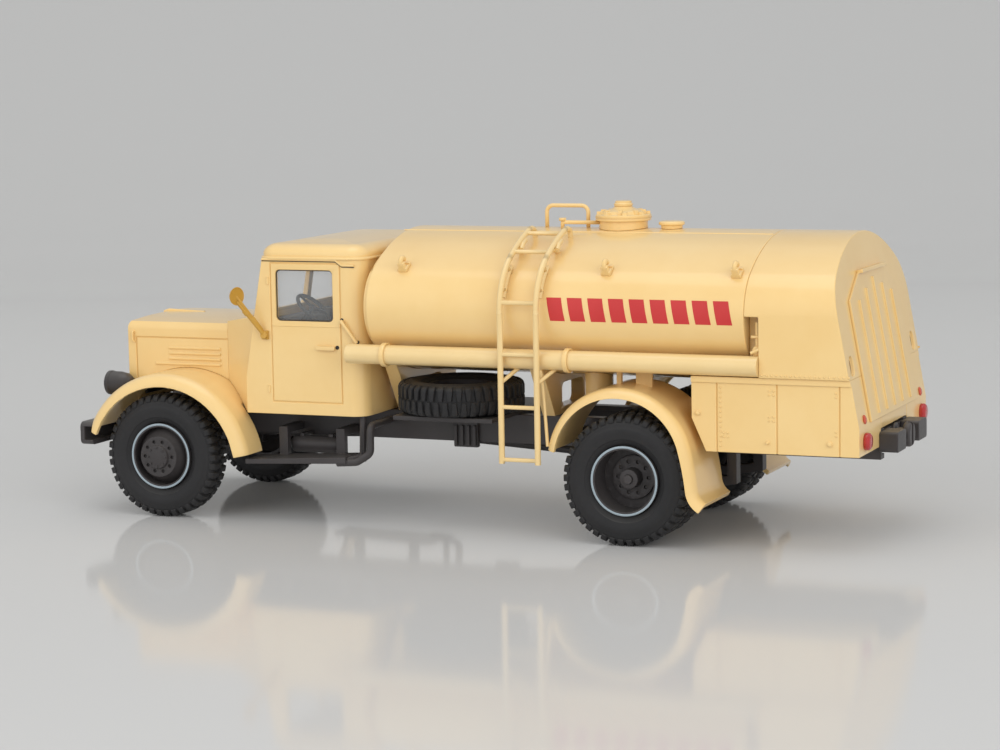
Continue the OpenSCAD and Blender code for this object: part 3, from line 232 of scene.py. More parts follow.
def standIn(name, mesh, material, node):  # takes the place of a CAD node
    newPiece(name, mesh, material, nodeBody[node], nodeSlot[node], (node,))


def opened(*meshes):
    bm = bmesh.new()
    for mesh in meshes:
        bm.from_mesh(mesh)
    return bm


def saved(bm, mesh=None):
    if mesh is None:
        mesh = bpy.data.meshes.new("piece")
    bm.to_mesh(mesh)
    bm.free()
    return mesh


def outward(bm, mesh=None):  # saved with every face turned out
    bmesh.ops.recalc_face_normals(bm, faces=bm.faces)
    return saved(bm, mesh)


def weld(bm, reach, least):
    bmesh.ops.remove_doubles(bm, verts=bm.verts, dist=reach)
    bmesh.ops.dissolve_degenerate(bm, edges=bm.edges, dist=least)


def joined(meshes):
    return saved(opened(*meshes))


def fitting(name, meshes, material, slotName):  # small pieces that ride on the truck as one
    newPiece(name, joined(meshes), material, "truck", slotName)


def holderFor(mesh):
    holder = bpy.data.objects.new("holder", mesh)
    bpy.context.scene.collection.objects.link(holder)
    return holder


def evaluatedMesh(holder):  # the modifier stack's result as a plain mesh; the holder goes
    bpy.context.view_layer.update()
    depsgraph = bpy.context.evaluated_depsgraph_get()
    mesh = bpy.data.meshes.new_from_object(holder.evaluated_get(depsgraph))
    bpy.data.objects.remove(holder)
    return mesh


def smoothByAngle(mesh, degrees):
    mesh.polygons.foreach_set("use_smooth", [True] * len(mesh.polygons))
    mesh.set_sharp_from_angle(angle=math.radians(degrees))
    return mesh


def softened(mesh, width, segments=2, limit=32):  # rounds the hard edges by a small bevel
    if width > 0:
        holder = holderFor(mesh)
        bevel = holder.modifiers.new("edge", "BEVEL")
        bevel.width = width * mm
        bevel.segments = segments
        bevel.limit_method = "ANGLE"
        bevel.angle_limit = math.radians(limit)
        bevel.use_clamp_overlap = False
        mesh = evaluatedMesh(holder)
    bm = opened(mesh)
    weld(bm, 1e-6, 1e-6)
    bmesh.ops.triangulate(bm, faces=[face for face in bm.faces if len(face.verts) > 4])
    holder = holderFor(smoothByAngle(saved(bm, mesh), 40))
    weigh = holder.modifiers.new("flat", "WEIGHTED_NORMAL")  # flat faces stay flat, the rounded edges take the turn
    weigh.keep_sharp = True
    weigh.weight = 80
    return evaluatedMesh(holder)


def cadMesh(node):  # a copy of a CAD node, its flat faces joined
    bm = opened(frame["nodes"][node].data)
    weld(bm, 2e-6, 1e-6)
    bmesh.ops.dissolve_limit(bm, angle_limit=math.radians(0.4), verts=bm.verts, edges=bm.edges)
    return saved(bm)


# plain dressing of the CAD pieces: name, node, finish, edge rounding in mm
dressTable = [
    ("frameRails", "frame_rails", "chassisBlack", 0.1), ("frameMembers", "frame_crossmembers", "chassisBlack", 0.1),
    ("bumperBar", "front_bumper", "chassisBlack", 0.15), ("bufferBlocks", "rear_buffers", "chassisBlack", 0.15),
    ("towHook", "tow_hook", "chassisBlack", 0.1), ("frontBeam", "front_axle", "chassisBlack", 0.1),
    ("frontLeaves", "front_springs", "chassisBlack", 0.08), ("rearCase", "rear_axle", "chassisBlack", 0.1),
    ("rearLeaves", "rear_springs", "chassisBlack", 0.08), ("engineCase", "engine_block", "chassisBlack", 0.2),
    ("driveShaft", "propeller_shaft", "chassisBlack", 0.0), ("airDrum", "air_tank", "chassisBlack", 0.08),
    ("cabShell", "cab_body", "creamPaint", 0.14), ("cabFloor", "cab_floor", "cabDark", 0.1),
    ("benchSeat", "bench_seat", "seatBrown", 0.4), ("dashPanel", "dashboard", "cabDark", 0.2),
    ("steeringWheel", "steering_wheel", "cabDark", 0.0), ("hoodShell", "hood", "creamPaint", 0.12),
    ("grilleFrame", "radiator_grille", "creamPaint", 0.12),
    ("frontFenderLeft", "front_fender_left", "creamPaint", 0.14),
    ("frontFenderRight", "front_fender_right", "creamPaint", 0.14),
    ("lampBowls", "headlights", "chassisBlack", 0.1), ("cabSteps", "cab_steps", "chassisBlack", 0.1),
    ("mirrorArms", "mirrors", "mirrorOchre", 0.06), ("doorHandles", "cab_handles", "creamPaint", 0.08),
    ("tankShell", "tank", "creamPaint", 0.2), ("tankSaddles", "tank_saddles", "creamPaint", 0.12),
    ("tankHooks", "tank_lugs", "creamPaint", 0.1), ("tankSump", "tank_sump", "creamPaint", 0.1),
    ("manholeNeck", "manhole_neck", "creamPaint", 0.1), ("manholeLid", "manhole_lid", "creamPaint", 0.1),
    ("fillerCap", "filler_cap", "creamPaint", 0.12), ("breatherPipe", "breather_pipe", "creamPaint", 0.0),
    ("hoopRail", "hoop_rail", "creamPaint", 0.0), ("hoseTubes", "hose_tubes", "tubeCream", 0.1),
    ("tubeClamps", "tube_brackets", "creamPaint", 0.1), ("ladderFrame", "ladder", "tubeCream", 0.0),
    ("rearShutter", "rear_shutter", "creamPaint", 0.12), ("sideBoxes", "side_boxes", "creamPaint", 0.12),
    ("tailLenses", "tail_lights", "lensRed", 0.12), ("rearReflectors", "reflectors", "lensOrange", 0.08),
    ("spareTray", "spare_carrier", "chassisBlack", 0.15), ("cabGlazing", "cab_glass", "clearGlass", 0.05),
    ("lampLenses", "headlight_lenses", "lampGlass", 0.06),
]


def dress(name, node, material, width):
    standIn(name, softened(cadMesh(node), width), material, node)


for entry in dressTable:
    dress(*entry)

# pump cabinet: its flat sides come out flush with the rounded top
cabinetLook = dict(edge=0.25, step=0.25, above=0.02, reach=4e-6)


def flushCabinet():
    mesh = cadMesh("rear_cabinet")
    flank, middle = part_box("tank")[1].y, boxMid("tank").z
    for vertex in mesh.vertices:
        atSide = abs(vertex.co.y) > flank - cabinetLook["step"] * mm
        if atSide and vertex.co.z < middle + cabinetLook["above"] * mm:
            vertex.co.y = math.copysign(flank, vertex.co.y)
    bm = opened(mesh)
    weld(bm, cabinetLook["reach"], cabinetLook["reach"])
    return saved(bm, mesh)


standIn("pumpCabinet", softened(flushCabinet(), cabinetLook["edge"]), "creamPaint", "rear_cabinet")
print("CAD pieces dressed:", len(dressTable) + 1)


# geometry node trees: a ring, a row and a tube along a path

def geometryTree(name, inputs):
    tree = bpy.data.node_groups.new(name, "GeometryNodeTree")
    tree.interface.new_socket("Geometry", in_out="INPUT", socket_type="NodeSocketGeometry")
    for label, kind in inputs:
        tree.interface.new_socket(label, in_out="INPUT", socket_type=kind)
    tree.interface.new_socket("Geometry", in_out="OUTPUT", socket_type="NodeSocketGeometry")
    return tree, tree.nodes.new("NodeGroupInput").outputs


def ended(tree, geometry):  # the tree's end: copies become real meshes
    real = addNode(tree, "GeometryNodeRealizeInstances", {"Geometry": geometry})
    addNode(tree, "NodeGroupOutput", {0: real.outputs[0]})
    return tree


def pieceOnPoints(tree, inn, points, **values):
    piece = addNode(tree, "GeometryNodeObjectInfo", {"Object": inn["Piece"]})
    return addNode(tree, "GeometryNodeInstanceOnPoints", {
        "Points": points, "Instance": piece.outputs["Geometry"], **values}).outputs[0]


def ringTree():  # copies of a piece round the Z axis
    tree, inn = geometryTree("ringOfPieces", [
        ("Piece", "NodeSocketObject"), ("Count", "NodeSocketInt"), ("Radius", "NodeSocketFloat"),
        ("Turn", "NodeSocketFloat")])
    circle = addNode(tree, "GeometryNodeMeshCircle", {"Vertices": inn["Count"], "Radius": inn["Radius"]})
    index = addNode(tree, "GeometryNodeInputIndex")
    step = mathNode(tree, "DIVIDE", 2 * math.pi, inn["Count"])
    turn = addNode(tree, "ShaderNodeCombineXYZ", {"Z": mathNode(tree, "MULTIPLY", index.outputs[0], step)})
    spin = addNode(tree, "FunctionNodeEulerToRotation", {0: turn.outputs[0]})
    copies = pieceOnPoints(tree, inn, circle.outputs["Mesh"], Rotation=spin.outputs[0])
    whole = addNode(tree, "ShaderNodeCombineXYZ", {"Z": inn["Turn"]})
    spun = addNode(tree, "GeometryNodeTransform", {"Geometry": copies, "Rotation": whole.outputs[0]})
    return ended(tree, spun.outputs[0])


def rowTree():  # copies of a piece along a straight row
    tree, inn = geometryTree("rowOfPieces", [
        ("Piece", "NodeSocketObject"), ("Count", "NodeSocketInt"), ("Start", "NodeSocketVector"),
        ("Step", "NodeSocketVector")])
    line = addNode(tree, "GeometryNodeMeshLine", {
        "Count": inn["Count"], "Start Location": inn["Start"], "Offset": inn["Step"]})
    return ended(tree, pieceOnPoints(tree, inn, line.outputs["Mesh"]))


def pathTree():  # a round bar along a line of points, bent at its corners
    tree, inn = geometryTree("barAlongPath", [
        ("Radius", "NodeSocketFloat"), ("Bend", "NodeSocketFloat"), ("Sides", "NodeSocketInt")])
    curve = addNode(tree, "GeometryNodeMeshToCurve", {0: inn["Geometry"]})
    bent = addNode(tree, "GeometryNodeFilletCurve", {
        "Curve": curve.outputs[0], "Radius": inn["Bend"], "Count": 8, "Limit Radius": True}, mode="POLY")
    circle = addNode(tree, "GeometryNodeCurvePrimitiveCircle", {"Resolution": inn["Sides"], "Radius": inn["Radius"]})
    tube = addNode(tree, "GeometryNodeCurveToMesh", {
        "Curve": bent.outputs[0], "Profile Curve": circle.outputs[0], "Fill Caps": True})
    return ended(tree, tube.outputs[0])


ringOf = ringTree()
rowOf = rowTree()
pathOf = pathTree()


def grown(tree, base, **values):  # runs a tree on a mesh and gives back a plain mesh
    holder = holderFor(base)
    growth = holder.modifiers.new("growth", "NODES")
    growth.node_group = tree
    for socket in tree.interface.items_tree:
        if socket.item_type == "SOCKET" and socket.in_out == "INPUT" and socket.name in values:
            growth[socket.identifier] = values[socket.name]
    return evaluatedMesh(holder)


def copied(tree, mesh, **values):
    piece = holderFor(mesh)
    mesh = grown(tree, bpy.data.meshes.new("seed"), Piece=piece, **values)
    bpy.data.objects.remove(piece)
    return mesh


def ring(mesh, count, radius, turn=0.0):
    return copied(ringOf, mesh, Count=count, Radius=radius * mm, Turn=turn)


def row(mesh, count, start, step):  # the step in mm
    return copied(rowOf, mesh, Count=count, Start=start, Step=Vector(step) * mm)


def bar(points, radius, bend=0.0, around=14):
    line = bpy.data.meshes.new("line")
    line.from_pydata(points, [(i, i + 1) for i in range(len(points) - 1)], [])
    mesh = grown(pathOf, line, Radius=radius * mm, Bend=bend * mm, Sides=around)
    return smoothByAngle(outward(opened(mesh), mesh), 50)


def sideBars(bars, sides=bothSides):  # bars of (places in mm, radius, bend) on the given sides
    return [bar([spot(*place, side) for place in places], radius, bend)
            for side in sides for places, radius, bend in bars]


def skin(bm, loops, closed=True):  # faces between loops that follow each other
    for here, there in zip(loops, loops[1:]):
        for i in range(len(here) if closed else len(here) - 1):
            j = (i + 1) % len(here)
            bm.faces.new((here[i], there[i], there[j], here[j]))


def shell(loops):  # a closed skin over loops of places in m, capped at both ends
    bm = bmesh.new()
    loops = [[bm.verts.new(place) for place in loop] for loop in loops]
    skin(bm, loops)
    bm.faces.new(loops[0])
    bm.faces.new(loops[-1])
    return outward(bm)


def revolved(profile, segments, closed=False):  # profile of (radius, height) in mm turned about Z
    bm = bmesh.new()
    rings = []
    for step in range(segments):
        angle = 2 * math.pi * step / segments
        rings.append([bm.verts.new((r * mm * math.cos(angle), r * mm * math.sin(angle), h * mm)) for r, h in profile])
    skin(bm, rings + rings[:1], closed)
    bmesh.ops.remove_doubles(bm, verts=bm.verts, dist=1e-7)
    return smoothByAngle(outward(bm), 38)


def block(low, high, taper=0.0):  # a box in mm, its top drawn in by taper
    bm = bmesh.new()
    corners = []
    for z, inset in ((low[2], 0.0), (high[2], taper)):
        for x, y in ((low[0] + inset, low[1] + inset), (high[0] - inset, low[1] + inset),
                     (high[0] - inset, high[1] - inset), (low[0] + inset, high[1] - inset)):
            corners.append(bm.verts.new((x * mm, y * mm, z * mm)))
    for quad in ((3, 2, 1, 0), (4, 5, 6, 7), (0, 1, 5, 4), (1, 2, 6, 5), (2, 3, 7, 6), (3, 0, 4, 7)):
        bm.faces.new([corners[i] for i in quad])
    return saved(bm)


def turned(mesh, matrix):  # a copy at its own place
    mesh = mesh.copy()
    mesh.transform(matrix)
    return mesh


def facingOut(place, side):  # sets a piece drawn about Z, its outside up, on an axle or a flank
    return Matrix.Translation(place) @ Matrix.Rotation(math.radians(-90 * side), 4, "X")


def toSide(mesh, side=1):  # what is drawn ahead of the rear axle goes to its place, mirrored for the right
    mesh.transform(Matrix.Translation((rearAxle, 0, 0)))
    if side < 0:
        mesh.transform(Matrix.Scale(-1, 4, (0, 1, 0)))
        mesh.flip_normals()
    return mesh


# tyres: a rounded carcass and two rows of shoulder lugs that reach over the tread
tyreLook = dict(outer=13.0, width=6.8, bead=7.0, segments=126, crown=0.04, lugs=42, lugHigh=0.62, lugGap=0.27,
                lugTaper=0.86, lugSink=0.06, lugEdge=0.07,
                wall=((0, 1.5), (0.15, 1.05), (0.8, 0.75), (1.0, 0.62), (1.15, 0.55), (1.3, 0.36), (1.5, 0.32),
                      (2.3, 0.06), (2.9, 0), (3.5, 0.08), (3.7, 0.22), (4.0, 0.26)),  # above the bead, in from the side
                shoulder=((0.5, 0.62), (0.16, 0.95), (0, 1.5)))  # below the tread, in from the side


def tyreMesh():
    look = tyreLook
    r, b, half = look["outer"], look["bead"], look["width"] / 2
    base = r - look["lugHigh"]
    side = [(b + up, half - inset) for up, inset in look["wall"]]
    side += [(base - down, half - inset) for down, inset in look["shoulder"]]
    profile = side + [(base + look["crown"], 0.0)] + [(a, -h) for a, h in reversed(side)]
    carcass = revolved(profile, look["segments"], closed=True)
    wide = math.pi * r / look["lugs"] - look["lugGap"]
    path = [  # one lug from the tread's middle over the shoulder: foot, place across, top, share of width, outward
        (base - 0.1, 0.16, r, 0.62, 0.0), (base - 0.1, half - 1.45, r, 1.0, 0.0),
        (base - 0.32, half - 0.9, r - 0.2, 1.0, 0.12), (base - 0.7, half - 0.66, r - 0.62, 0.86, 0.24),
        (b + 4.55, half - 0.4, b + 4.75, 0.86, 0.1)]
    loops = []
    for low, h, high, share, out in path:
        foot, top = wide * share, wide * share * look["lugTaper"]
        loops.append([Vector(place) * mm for place in (
            (low, -foot, h - look["lugSink"]), (high, -top, h + out), (high, top, h + out),
            (low, foot, h - look["lugSink"]))])
    upper = ring(softened(shell(loops), look["lugEdge"], 1), look["lugs"], 0.0)
    lower = turned(upper, Matrix.Rotation(math.pi / look["lugs"], 4, "Z") @ Matrix.Scale(-1, 4, (0, 0, 1)))
    lower.flip_normals()
    return joined([carcass, upper, lower])


tyre = tyreMesh()

# the wheels: name, node, side, ending of the twins' names
wheels = [("frontLeft", "front_left", 1, ""), ("frontRight", "front_right", -1, ""),
          ("rearLeft", "rear_left", 1, "s"), ("rearRight", "rear_right", -1, "s")]
for name, node, side, twins in wheels:
    low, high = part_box(f"{node}_tyre{twins}")
    mid = (low + high) / 2
    half = tyreLook["width"] * mm / 2
    across = (high.y - half, low.y + half) if twins else (mid.y,)
    tyres = joined([turned(tyre, facingOut((mid.x, y, mid.z), side)) for y in across])
    standIn(f"{name}Tyre{twins}", tyres, "rubber", f"{node}_tyre{twins}")
standIn("spareTyre", turned(tyre, Matrix.Translation(boxMid("spare_tyre"))), "rubber", "spare_tyre")
print("tyres:", len(tyre.polygons), "faces each")

rimEdge = 0.06
for name, node, _, twins in wheels:
    dress(f"{name}Rim{twins}", f"{node}_rim{twins}", "wheelBlack", rimEdge)
dress("spareRim", "spare_rim", "wheelBlack", rimEdge)
print("rims dressed")


# small fittings

def rimFace(node, side, inner, outer):  # on the axle, where the rim's face lies between two radii in mm
    mid = boxMid(node)
    out = 0.0
    for vertex in frame["nodes"][node].data.vertices:
        if inner < math.hypot(vertex.co.x - mid.x, vertex.co.z - mid.z) / mm < outer:
            out = max(out, vertex.co.y * side)
    return facingOut((mid.x, out * side, mid.z), side)


# bright ring on the outer rim edge
ringLook = dict(inner=6.5, outer=6.93, proud=0.12, sunk=0.25, inEdge=0.12, outEdge=0.1, faceFrom=6.6, segments=96)


def rimRing():
    look = ringLook
    inner, outer, proud, sunk = look["inner"], look["outer"], look["proud"], look["sunk"]
    return revolved([(inner, -sunk), (inner, proud * 0.5), (inner + look["inEdge"], proud),
                     (outer - look["outEdge"], proud), (outer, proud * 0.4), (outer, -sunk)],
                    look["segments"], closed=True)


for name, node, side, twins in wheels:
    rim = f"{node}_rim{twins}"
    place = rimFace(rim, side, ringLook["faceFrom"], math.inf)
    newPiece(f"{name}Ring", turned(rimRing(), place), "ringSilver", nodeBody[rim], "wheel_paint")

# nuts round the front hubs
nutLook = dict(ringAt=2.05, count=8, size=0.26, high=0.22, sunk=0.2, reach=0.75)
nut = revolved([(0, -nutLook["sunk"]), (nutLook["size"], -nutLook["sunk"]), (nutLook["size"], nutLook["high"] * 0.8),
                (nutLook["size"] * 0.7, nutLook["high"]), (0, nutLook["high"])], 6)
for name, node, side, _ in wheels[:2]:
    rim = f"{node}_rim"
    place = rimFace(rim, side, nutLook["ringAt"] - nutLook["reach"], nutLook["ringAt"] + nutLook["reach"])
    nuts = turned(ring(nut, nutLook["count"], nutLook["ringAt"]), place)
    newPiece(f"{name}Nuts", nuts, "wheelBlack", nodeBody[rim], "wheel_paint")


def rivetRows(rows, radius, high):  # rows of (first place in mm, step along, step up, count) on both sides
    dome = revolved([(0, -0.12), (radius, -0.12), (radius, high * 0.25), (radius * 0.8, high * 0.7),
                     (radius * 0.42, high * 0.95), (0, high)], 14)
    return [row(turned(dome, facingOut((0, 0, 0), side)), count, spot(*first, side), (along, 0, up))
            for side in bothSides for first, along, up, count in rows]


# rivets of the boxes and the cabinet
rivetLook = dict(radius=0.22, high=0.2, rows=[
    ((-27.6, 26.8, 34.5), -0.95, 0, 19),  # along the cabinet's lower edge
    ((-18.95, 25.8, 20.4), 0, 0.95, 13),  # beside the first box seam
    ((-29.6, 25.8, 31.4), 0.9, 0, 2), ((-29.6, 25.8, 30.6), 0.9, 0, 2),  # door hinges
    ((-29.6, 25.8, 26.4), 0.9, 0, 2), ((-29.6, 25.8, 25.6), 0.9, 0, 2),
    ((-19.6, 25.8, 22.2), 0, 0.8, 2), ((-20.4, 25.8, 22.2), 0, 0.8, 2),
    ((-41.9, 25.8, 31.4), 0, -0.8, 2), ((-41.9, 25.8, 24.0), 0, -0.8, 2),
])
fitting("boxRivets", rivetRows(**rivetLook), "creamPaint", "cream_paint")


def turnedFittings(places, profile, segments):  # at each (x, y, z, radius) in mm; the profile's radii are shares
    return [turned(revolved([(share * radius, h) for share, h in profile], segments),
                   facingOut(spot(x, y, z, side), side)) for side in bothSides for x, y, z, radius in places]


# box knobs and latches
knobLook = dict(places=((-14.4, 25.8, 26.7, 0.42), (-40.7, 25.8, 21.6, 0.42), (-28.4, 25.8, 21.4, 0.3)), segments=20,
                profile=((0, -0.1), (1.35, -0.1), (1.35, 0.12), (1, 0.2), (1, 0.5), (0.7, 0.62), (0, 0.66)))
fitting("boxKnobs", turnedFittings(**knobLook), "creamPaint", "cream_paint")

# trim of the cab and the hood: bars of places, radius and bend
hoodTop = boxMm("hood")[1].z
trimBars = [
    (((80.4, 22.5, 49.55), (80.4, 22.5, 51.05)), 0.3, 0),  # door hinges
    (((80.6, 22.5, 26.95), (80.6, 22.5, 28.45)), 0.3, 0),
    (((64.0, 22.46, 41.0), (79.4, 22.46, 41.0)), 0.16, 0),  # belt bead
    (((98.0, 14.9, 28.8), (98.0, 15.9, 28.8), (95.6, 15.9, 28.6), (95.6, 14.9, 28.6)), 0.26, 0.4),  # hood handle
    (((117.2, 14.8, 38.0), (117.2, 15.5, 38.0), (117.2, 15.5, 36.2), (116.9, 15.2, 35.7)), 0.24, 0.4),  # hood catch
]
hoodBars = [(((118.0, 0, hoodTop - 0.3), (116.8, 0, hoodTop + 0.1), (108.0, 0, hoodTop - 0.25)), 0.42, 0.6)]
fitting("cabTrim", sideBars(trimBars) + sideBars(hoodBars, (1,)), "creamPaint", "cream_paint")

# painted shade: dark discs at the ends of the door handle and the grab bar stand in for the shade in the holes there
handleShadeLook = dict(places=((64.6, 22.5, 36.75, 0.42), (63.4, 22.5, 42.5, 0.36), (59.9, 22.5, 38.0, 0.36)), segments=18,
                  profile=((0, -0.05), (1, -0.05), (1, 0.06), (0.6, 0.03), (0, 0.03)))
fitting("handleSockets", turnedFittings(**handleShadeLook), "cabDark", "cab_dark")

# rubber round the side windows
windowLook = dict(front=78.5, back=65.6, low=42.1, high=52.5, flank=22.0, seam=72.0, gap=0.1, radius=0.1, bend=0.9)
windowLine = [(windowLook[x], windowLook["flank"], windowLook[z]) for x, z in (
    ("seam", "low"), ("front", "low"), ("front", "high"), ("back", "high"), ("back", "low"))]
windowLine.append((windowLook["seam"] - windowLook["gap"], windowLook["flank"], windowLook["low"]))
windowBars = [(windowLine, windowLook["radius"], windowLook["bend"])]
fitting("windowRubber", sideBars(windowBars), "seatBrown", "cab_dark")

# drip rail that steps down behind the door, its shadow line and its rivets
dripLook = dict(line=((81.6, 54.72), (64.6, 54.72), (63.2, 53.7), (60.4, 53.7)), flank=22.5, bend=0.6, radius=0.26,
                shade=0.1, shadeDrop=0.34)
gutterLook = dict(radius=0.14, high=0.1, rows=[((61.2, 22.84, 55.05), 0.75, 0, 7)])
for name, drop, radius, finish, slotName in (
        ("dripRail", 0, dripLook["radius"], "creamPaint", "cream_paint"),
        ("dripShadow", dripLook["shadeDrop"], dripLook["shade"], "seatBrown", "cab_dark")):
    line = [(x, dripLook["flank"], z - drop) for x, z in dripLook["line"]]
    fitting(name, sideBars([(line, radius, dripLook["bend"])]), finish, slotName)
fitting("gutterRivets", rivetRows(**gutterLook), "creamPaint", "cream_paint")

# what hugs the tank is placed on the arc of its flank
tankLow, tankHigh = boxMm("tank")
flankRadius = 10.0


def tankFlank(degrees, lift):  # across and up in mm, by the turn up from the tank's widest line
    turn, reach = math.radians(degrees), flankRadius + lift
    return (tankHigh.y - flankRadius + reach * math.cos(turn),
            (tankLow.z + tankHigh.z) / 2 + reach * math.sin(turn))


# ladder stays: struts to the tube, the rod to the fender and the straps at the rail tops
stayLook = dict(strut=0.42, rod=0.34, curl=0.55, strap=0.5, front=25.5, back=17.8, railIn=0.6, hugFrom=16, hugTurn=40,
                hugSteps=11, hugLift=0.6)
railY = boxMm("ladder")[1].y - stayLook["railIn"]
front, back = stayLook["front"], stayLook["back"]
stayBars = [
    (((front, railY, 31.6), (front - 3.4, 24.6, 35.2)), stayLook["strut"], 0),
    (((back, railY, 31.6), (back - 3.6, 24.6, 35.2)), stayLook["strut"], 0),
    (((back + 0.3, 26.4, 34.4), (back - 0.2, 26.8, 32.0), (15.9, 28.6, 19.2)), stayLook["rod"], 1.0),
]
for x in (front, back):  # rail tops curl down on to the tank, straps and a strip hold each rail below
    hug = [(x, *tankFlank(stayLook["hugFrom"] + stayLook["hugTurn"] * step / stayLook["hugSteps"], stayLook["hugLift"]))
           for step in range(stayLook["hugSteps"] + 1)]
    stayBars += [
        (((x, 13.4, 60.7), (x, 11.6, 61.0), (x, 10.2, 60.6), (x, 9.8, 58.9)), stayLook["curl"], 0.9),
        (((x, 20.6, 57.5), (x, 18.4, 57.2), (x, 16.6, 56.6)), stayLook["strap"], 0.8),
        (hug, stayLook["strap"], 0),
        (((x - 0.9, 19.6, 57.3), (x - 0.7, 18.2, 58.3), (x - 0.5, 16.4, 58.9)), stayLook["strap"], 0.5),
    ]
fitting("ladderStays", sideBars(stayBars, (1,)), "tubeCream", "tube_cream")

# spring hangers under the rails and bent bars that carry the steps
hangerLook = dict(back=38.6, front=44.0, low=15.4, high=20.8, inY=9.6, outY=10.9, edge=0.2, ribs=4, ribY=11.0,
                  ribLow=(-0.35, -0.4, 0), ribHigh=(0.35, 0.45), ribEdge=0.12, margin=0.6, foot=0.4)
stepBars = [(((58.4, 11.0, 20.6), (58.0, 21.6, 20.6), (57.8, 22.2, 15.0), (60.6, 22.8, 13.2), (65.0, 23.0, 12.9)),
             0.8, 1.6)]


def hanger(side):
    look = hangerLook
    plate = block((look["back"], look["inY"], look["low"]), (look["front"], look["outY"], look["high"]))
    rib = block(look["ribLow"], (*look["ribHigh"], look["high"] - look["low"] - 2 * look["margin"]))
    pitch = (look["front"] - look["back"] - 2 * look["margin"]) / (look["ribs"] - 1)
    start = Vector((look["back"] + look["margin"], look["ribY"], look["low"] + look["foot"])) * mm
    ribs = row(softened(rib, look["ribEdge"]), look["ribs"], start, (pitch, 0, 0))
    return [toSide(softened(plate, look["edge"]), side), toSide(ribs, side)]


fitting("frameHangers", hanger(1) + hanger(-1) + sideBars(stepBars), "chassisBlack", "chassis_black")

# rear fenders: one sheet swept over the wheels into a mud flap whose end turns out; mm and degrees
fenderLook = dict(x=1.1, up=3.3, room=2.05, cover=1.3, inner=1.6, curve=2.6, lip=1.95, sheet=1.0, start=8.7, end=164,
                  tail=8.9, steepen=9, flare=3.0, turn=52, edge=0.1, arcSteps=48, tailSteps=6, flareSteps=10,
                  curveSteps=8, stay=0.45, stayTurn=8, stayDeep=0.5, stayLap=1)


def fenderPath(radius, midZ):  # place on the sheet's outside and the way it faces
    look = fenderLook
    for step in range(look["arcSteps"] + 1):
        angle = math.radians(look["start"] + (look["end"] - look["start"]) * step / look["arcSteps"])
        x, z = look["x"] + radius * math.cos(angle), midZ + radius * math.sin(angle)
        yield x, z, angle
    for turn, far, steps in ((look["steepen"], look["tail"], look["tailSteps"]),
                             (-look["turn"], look["flare"], look["flareSteps"])):
        for step in range(steps):
            angle += math.radians(turn / steps)
            x, z = x - math.sin(angle) * far / steps, z + math.cos(angle) * far / steps
            yield x, z, angle


def fenderSection(inY, outY):  # depth under the sheet's outside against the place across it
    look = fenderLook
    loop = []
    for inset in (0.0, look["sheet"]):
        curve = look["curve"] - inset
        foot = math.asin((look["curve"] - look["lip"]) / curve)
        edge = [(-inset, inY)]
        for step in range(look["curveSteps"] + 1):
            angle = math.pi / 2 + (foot - math.pi / 2) * step / look["curveSteps"]
            edge.append((curve * math.sin(angle) - look["curve"], outY - look["curve"] + curve * math.cos(angle)))
        loop += edge if inset == 0 else edge[::-1]
    return loop


def rearFender(side, tyres):  # the sheet and its arms to the frame
    look = fenderLook
    low, high = boxMm(tyres)
    inY = min(abs(low.y), abs(high.y)) - look["inner"]
    outY = max(abs(low.y), abs(high.y)) + look["cover"]
    radius, midZ = high.z / 2 + look["room"], high.z / 2 + look["up"]
    section = fenderSection(inY, outY)
    sheet = shell([[spot(x + depth * math.cos(angle), y, z + depth * math.sin(angle), side) for depth, y in section]
                   for x, z, angle in fenderPath(radius, midZ)])
    arms = []
    for degrees in (look["start"] + look["stayTurn"], look["end"] - look["stayTurn"]):
        angle, reach = math.radians(degrees), radius - look["stayDeep"]
        x, z = look["x"] + reach * math.cos(angle), midZ + reach * math.sin(angle)
        arms.append((((x, inY + look["stayLap"], z), (x, boxMm("frame_rails")[1].y, z)), look["stay"], 0))
    return softened(sheet, look["edge"]), sideBars(arms, (side,))


meshes = []
for name, node, tyres, side in (("rearFenderLeft", "rear_fender_left", "rear_left_tyres", 1),
                                ("rearFenderRight", "rear_fender_right", "rear_right_tyres", -1)):
    sheet, arms = rearFender(side, tyres)
    standIn(name, sheet, "creamPaint", node)
    meshes += arms
fitting("fenderArms", meshes, "chassisBlack", "chassis_black")

# stays between the tank and the rear fenders, in the darker cream of painted shade under the tank: place along, half
# width, half depth
bracketLook = dict(sizes=((3.6, 0.5, 0.5), (-1.6, 1.7, 0.35)), y=20.6, low=30.6, high=34.4, edge=0.12)
meshes = []
for side in bothSides:
    for x, wide, deep in bracketLook["sizes"]:
        mesh = block((x - wide, bracketLook["y"] - deep, bracketLook["low"]),
                     (x + wide, bracketLook["y"] + deep, bracketLook["high"]))
        meshes.append(toSide(softened(mesh, bracketLook["edge"]), side))
fitting("fenderStays", meshes, "paintedShadeCream", "cream_paint")

# plain red dashes low on the tank's flanks
markLook = dict(start=16.2, pitch=4.3, count=9, long=3.1, slant=0.9, low=-8.5, high=18.0, lift=0.035, sunk=0.05,
                steps=10)


def dashMesh(side):
    look = markLook
    loops = []
    for step in range(look["steps"] + 1):
        share = step / look["steps"]
        degrees = look["low"] + (look["high"] - look["low"]) * share
        lean = look["slant"] * (share - 0.5) * side
        loop = []
        for x, lift in ((lean, -look["sunk"]), (lean - look["long"], -look["sunk"]),
                        (lean - look["long"], look["lift"]), (lean, look["lift"])):
            y, z = tankFlank(degrees, lift)
            loop.append(Vector((x, y * side, z)) * mm)
        loops.append(loop)
    return smoothByAngle(shell(loops), 30)


fitting("redDashes", [row(dashMesh(side), markLook["count"], spot(markLook["start"], 0, 0),
                          (-markLook["pitch"], 0, 0)) for side in bothSides], "markRed", "red_lens")
